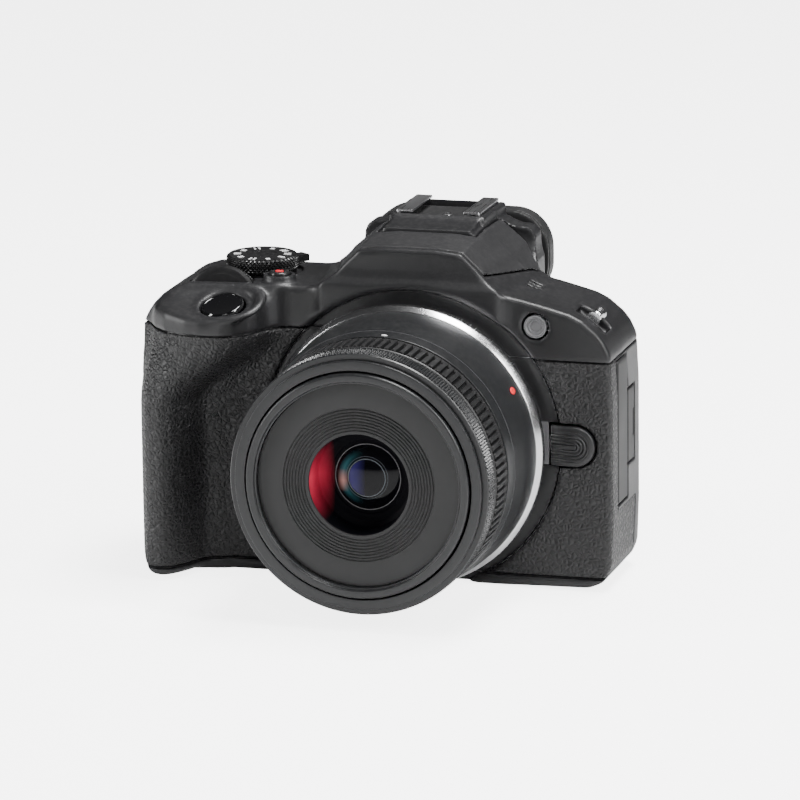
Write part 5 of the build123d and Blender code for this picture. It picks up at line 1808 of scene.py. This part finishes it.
@dataclass
class Fittings:
    """The shoe, eyecup, lamp, strap lugs and the CAD nodes that keep their shape."""

    keep: dict[str, str] = field(default_factory=lambda: {"power_lever": "dial_semi_gloss",
            "chassis": "cast_alloy", "mount_ring": "mount_bright", "body_screws": "screw_steel",
            "mount_contacts": "gold_plate", "hot_shoe_base": "door_rubber",
            "eyepiece_lens": "screen_gloss", "evf_display": "screen_gloss",
            "terminal_sockets": "socket_steel", "battery": "battery_shell",
            "memory_card": "card_shell", "tripod_socket": "screw_steel",
            "image_sensor": "circuit_green", "shutter_unit": "barrel_matt",
            "main_board": "circuit_green", "screen_frame": "body_satin",
            "screen_glass": "screen_gloss", "display_panel": "circuit_green",
            "lens_mount": "mount_bright", "rear_element": "lens_coating",
            "focus_rods": "screw_steel", "focus_group": "barrel_matt", "pad_carrier": "barrel_matt",
            "battery_door": "body_satin", "battery_latch": "dial_semi_gloss",
            "lens_lock_pin": "screw_steel", "flash_window": "flash_prism"})

    def rails(self) -> None:
        """The shoe: a floor, two side walls and their lips as one folded strip."""
        grid = Lattice((-11.2, 10.0, 79.6), (11.2, 30.1, 86.2), 0.16)
        x, y, z = grid.axes()
        a = np.abs(x)
        d = box(a, y, z, (-12.0, 10.85, 80.65), (10.3, 29.25, 81.2), 0.15)
        d = soft_min(d, box(a, y, z, (9.35, 10.85, 80.65), (10.35, 29.25, 85.38), 0.2), 0.3)
        lip = box(a, y, z, (6.35, 10.85, 84.7), (10.35, 29.25, 85.42), 0.2)
        d = soft_min(d, lip, 0.15)
        settle(grid.surface("shoe_rails", d, 0.002), "rail_brushed", "root", "hot_shoe_rails")

    def shoe_contacts(self) -> None:
        """Springs on the shoe's floor: five flat round contacts."""
        for k, (cx, cy) in enumerate(((0.0, 20.0), (-2.2, 17.4), (2.2, 17.4), (-4.4, 17.4),
                                      (4.4, 17.4))):
            r = 1.1 if k == 0 else 0.65
            disc = np.concatenate([[[0.0, 0.0]],
                                   rounded([(0.0, r, 0), (0.14, r, 0.05), (0.2, r - 0.2, 0.05)]),
                                   [[0.2, 0.0]]])
            piece = turned(f"shoe_contact_{k}", disc, (cx, cy, 82.66), (0, 0, 1), 32)
            settle(piece, "rail_brushed", "root")

    def eyecup(self) -> None:
        """The rubber eyecup: a soft frame with a hollowed rear face."""
        grid = Lattice((-23.2, 29.4, 58.2), (23.2, 39.6, 83.6), 0.3)
        x, y, z = grid.axes()
        mid = 71.1
        outer = box(x, y, z, (-22.5, -50, 59.5), (22.5, 50, 82.0), 9.5)
        mouth = box(x, y, z, (-10.5, -50, mid - 7.5), (10.5, 50, mid + 7.5), 3.5)
        flare = 2.6 * np.clip((y - 31.0) / 8.0, 0, 1) ** 2
        rear = 39.15 - 1.3 * (x / 22.5) ** 2
        d = soft_max(outer, y - rear, 2.6)
        d = soft_max(d, 30.05 - y, 0.4)
        d = soft_max(d, -(mouth - flare), 1.0)
        d = soft_max(d, -np.maximum(np.abs(y - 31.5) - 0.35, -(outer + 0.6)), 0.3)
        settle(grid.surface("eyecup_rubber", d, 0.003), "door_rubber", "root", "eyecup")

    def lamp(self) -> None:
        """The focus-assist lamp: clear rings that step towards a small dome."""
        profile = np.concatenate([[[1.2, 0.0], [1.2, 2.85]],
                                  rounded([(-1.9, 2.85, 0.2), (-1.95, 2.3, 0.1), (-1.5, 2.1, 0.1),
                                           (-1.6, 1.5, 0.1), (-1.2, 1.35, 0.1), (-1.35, 0.9, 0.1)]),
                                  [[-1.5, 0.0]]])
        lamp = turned("af_lamp_rings", profile, (LAMP[0], -13.0, LAMP[1]), (0, 1, 0), 72)
        settle(lamp, "lamp_frosted", "root", "af_lamp_window")

    def lugs(self) -> None:
        """The bright bars across the strap pockets, each a waisted pin between two feet."""
        points = []
        for sx, sy, sz, lean in STRAPS:
            down = np.array((-math.sin(math.radians(lean)), 0.0, -math.cos(math.radians(lean))))
            points.append(np.array((sx, sy - 3.2, sz)) + down * (0.4 if sx > 0 else 2.4))
        for k, start in enumerate(points):
            profile = np.array([[0.0, 0.0], [0.0, 1.7], [0.7, 1.6], [1.5, 1.1], [2.2, 0.95],
                                [2.7, 1.35], [3.7, 1.35], [4.2, 0.95], [4.9, 1.1], [5.7, 1.6],
                                [6.4, 1.7], [6.4, 0.0]])
            piece = turned(f"strap_bar_{k}", profile, start, (0, 1, 0), 40)
            settle(piece, "mount_bright", "root", *(("strap_lugs",) if k == 0 else ()))

    def thumb(self) -> None:
        """The thumb rest: a low pad with leather grain."""
        grid = Lattice((-63.8, 15.0, 32.2), (-49.2, 18.2, 50.8), 0.25)
        x, y, z = grid.axes()
        plan = box(x, y, z, (-63.0, -50, 33.0), (-50.0, 50, 50.0), 4.0)
        crown = 16.7 + 0.9 * np.clip((x + 63.0) / 13.0, 0, 1) ** 0.8
        d = soft_max(plan, y - crown, 0.8)
        d = np.maximum(d, 15.95 - y)
        settle(grid.surface("thumb_pad", d, 0.003), "grip_leather", "root", "thumb_rest")

    def dress_nodes(self) -> None:
        """Give every CAD node that shows its finish."""
        for node, finish in self.keep.items():
            dress(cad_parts[node], finish)
            log.info("%s keeps its shape, %s", node, finish)

    def build(self) -> None:
        """Make the fittings."""
        self.rails()
        self.shoe_contacts()
        self.eyecup()
        self.lamp()
        self.lugs()
        self.thumb()
        self.dress_nodes()


# ================================================================ the studio
@dataclass
class Studio:
    """Pale floor, soft lights and the camera.

    Attributes:
        eye: Place of the camera, in millimetres.
        right: The camera's right.
        up: The camera's up.
        back: The way the camera's back faces.
        lens: Focal length.
        sensor: Width of the sensor.
        floor_half: Half width of the floor.
        floor_drop: How far the floor lies under the base.
        floor_glow: How brightly the floor is seen, and how brightly it lights the camera.
        ambient: Strength of the grey that lights the camera.
        backdrop: Strength of the white seen behind it.
        lights: Name, place, target, size and power of each light, in metres and watts.
    """

    eye: tuple[float, float, float] = (391.749, -1397.843, 391.239)
    right: tuple[float, float, float] = (0.9623177, 0.27170681, -0.01095685)
    up: tuple[float, float, float] = (-0.05347075, 0.22857918, 0.97205578)
    back: tuple[float, float, float] = (0.26661869, -0.93484061, 0.23449415)
    lens: float = 278.306
    sensor: float = 36.0
    floor_half: float = 30000.0
    floor_drop: float = 0.3
    floor_glow: tuple[float, float] = (4.2, 0.06)
    ambient: float = 0.05
    backdrop: float = 5.0
    lights: tuple[tuple, ...] = (
        ("overhead", (0.2, 0.05, 0.9), (0.0, 0.0, 0.06), (0.5, 0.3), 16.0),
        ("right_strip", (0.85, -0.25, 0.55), (0.0, 0.0, 0.05), (0.16, 0.6), 9.0),
        ("left_strip", (-0.9, -0.45, 0.35), (0.0, 0.0, 0.04), (0.14, 0.6), 7.5),
        ("front_fill", (0.2, -1.2, 1.0), (0.0, 0.0, 0.04), (0.5, 0.25), 5.0))

    def camera(self) -> None:
        """Place the camera."""
        data = bpy.data.cameras.new("view")
        data.lens = self.lens
        data.sensor_width = self.sensor
        data.clip_start = 0.05
        data.clip_end = 100.0
        camera = bpy.data.objects.new("view", data)
        bpy.context.scene.collection.objects.link(camera)
        rows = np.array([self.right, self.up, self.back]).T
        matrix = Matrix([(*rows[i], self.eye[i] * MM) for i in range(3)] + [(0, 0, 0, 1)])
        camera.matrix_world = matrix
        bpy.context.scene.camera = camera

    def light(self, name: str, place: Sequence[float], aim: Sequence[float],
              size: tuple[float, float], power: float) -> None:
        """A soft rectangular light that faces a point.

        Args:
            name: Name of the light.
            place: Where it stands.
            aim: What it points at.
            size: Its sides, in metres.
            power: Watts.
        """
        data = bpy.data.lights.new(name, "AREA")
        data.shape = "RECTANGLE"
        data.size, data.size_y = size
        data.energy = power
        lamp = bpy.data.objects.new(name, data)
        bpy.context.scene.collection.objects.link(lamp)
        lamp.location = place
        lamp.rotation_euler = (Vector(aim) - Vector(place)).to_track_quat("-Z", "Y").to_euler()

    def floor(self) -> None:
        """A wide pale floor just under the base."""
        corners = np.array([(-1, -1), (1, -1), (1, 1), (-1, 1)]) * self.floor_half
        points = np.column_stack([corners, np.full(4, -self.floor_drop)])
        floor = write_mesh("floor", points, np.array([(0, 1, 2, 3)]))
        material = bpy.data.materials.new("pale_floor")
        material.use_nodes = True
        shader = material.node_tree.nodes["Principled BSDF"]
        shader.inputs["Base Color"].default_value = (0.9, 0.9, 0.9, 1)
        shader.inputs["Roughness"].default_value = 0.9
        tree = material.node_tree
        seen = tree.nodes.new("ShaderNodeLightPath")
        shade = tree.nodes.new("ShaderNodeMix")
        shade.data_type = "RGBA"
        shade.inputs[6].default_value = (*[self.floor_glow[1]] * 3, 1)
        shade.inputs[7].default_value = (*[self.floor_glow[0]] * 3, 1)
        tree.links.new(seen.outputs["Is Camera Ray"], shade.inputs[0])
        tree.links.new(shade.outputs[2], shader.inputs["Emission Color"])
        shader.inputs["Emission Strength"].default_value = 1.0
        floor.data.materials.append(material)

    def world(self) -> None:
        """White behind, seen directly, and a dimmer grey for what lights the camera."""
        world = bpy.data.worlds.new("studio")
        world.use_nodes = True
        bpy.context.scene.world = world
        tree = world.node_tree
        tree.nodes.clear()
        out = tree.nodes.new("ShaderNodeOutputWorld")
        mix = tree.nodes.new("ShaderNodeMixShader")
        path = tree.nodes.new("ShaderNodeLightPath")
        grey, white = (tree.nodes.new("ShaderNodeBackground") for _ in range(2))
        grey.inputs[0].default_value = (1, 1, 1, 1)
        grey.inputs[1].default_value = self.ambient
        white.inputs[0].default_value = (1, 1, 1, 1)
        white.inputs[1].default_value = self.backdrop
        tree.links.new(path.outputs["Is Camera Ray"], mix.inputs[0])
        tree.links.new(grey.outputs[0], mix.inputs[1])
        tree.links.new(white.outputs[0], mix.inputs[2])
        tree.links.new(mix.outputs[0], out.inputs[0])

    def build(self) -> None:
        """Set up the studio."""
        self.camera()
        self.floor()
        self.world()
        for light in self.lights:
            self.light(*light)


def main() -> None:
    """Build every sub-assembly and the studio."""
    logging.basicConfig(level=logging.INFO, format="%(name)s: %(message)s")
    for make in (grain_group, pebble_group, dust_group, brush_group, painted_reflection_group):
        make()
    for part in (Covers(), Lens(), Controls(), Fittings(), Studio()):
        part.build()


if __name__ == "__main__":
    main()
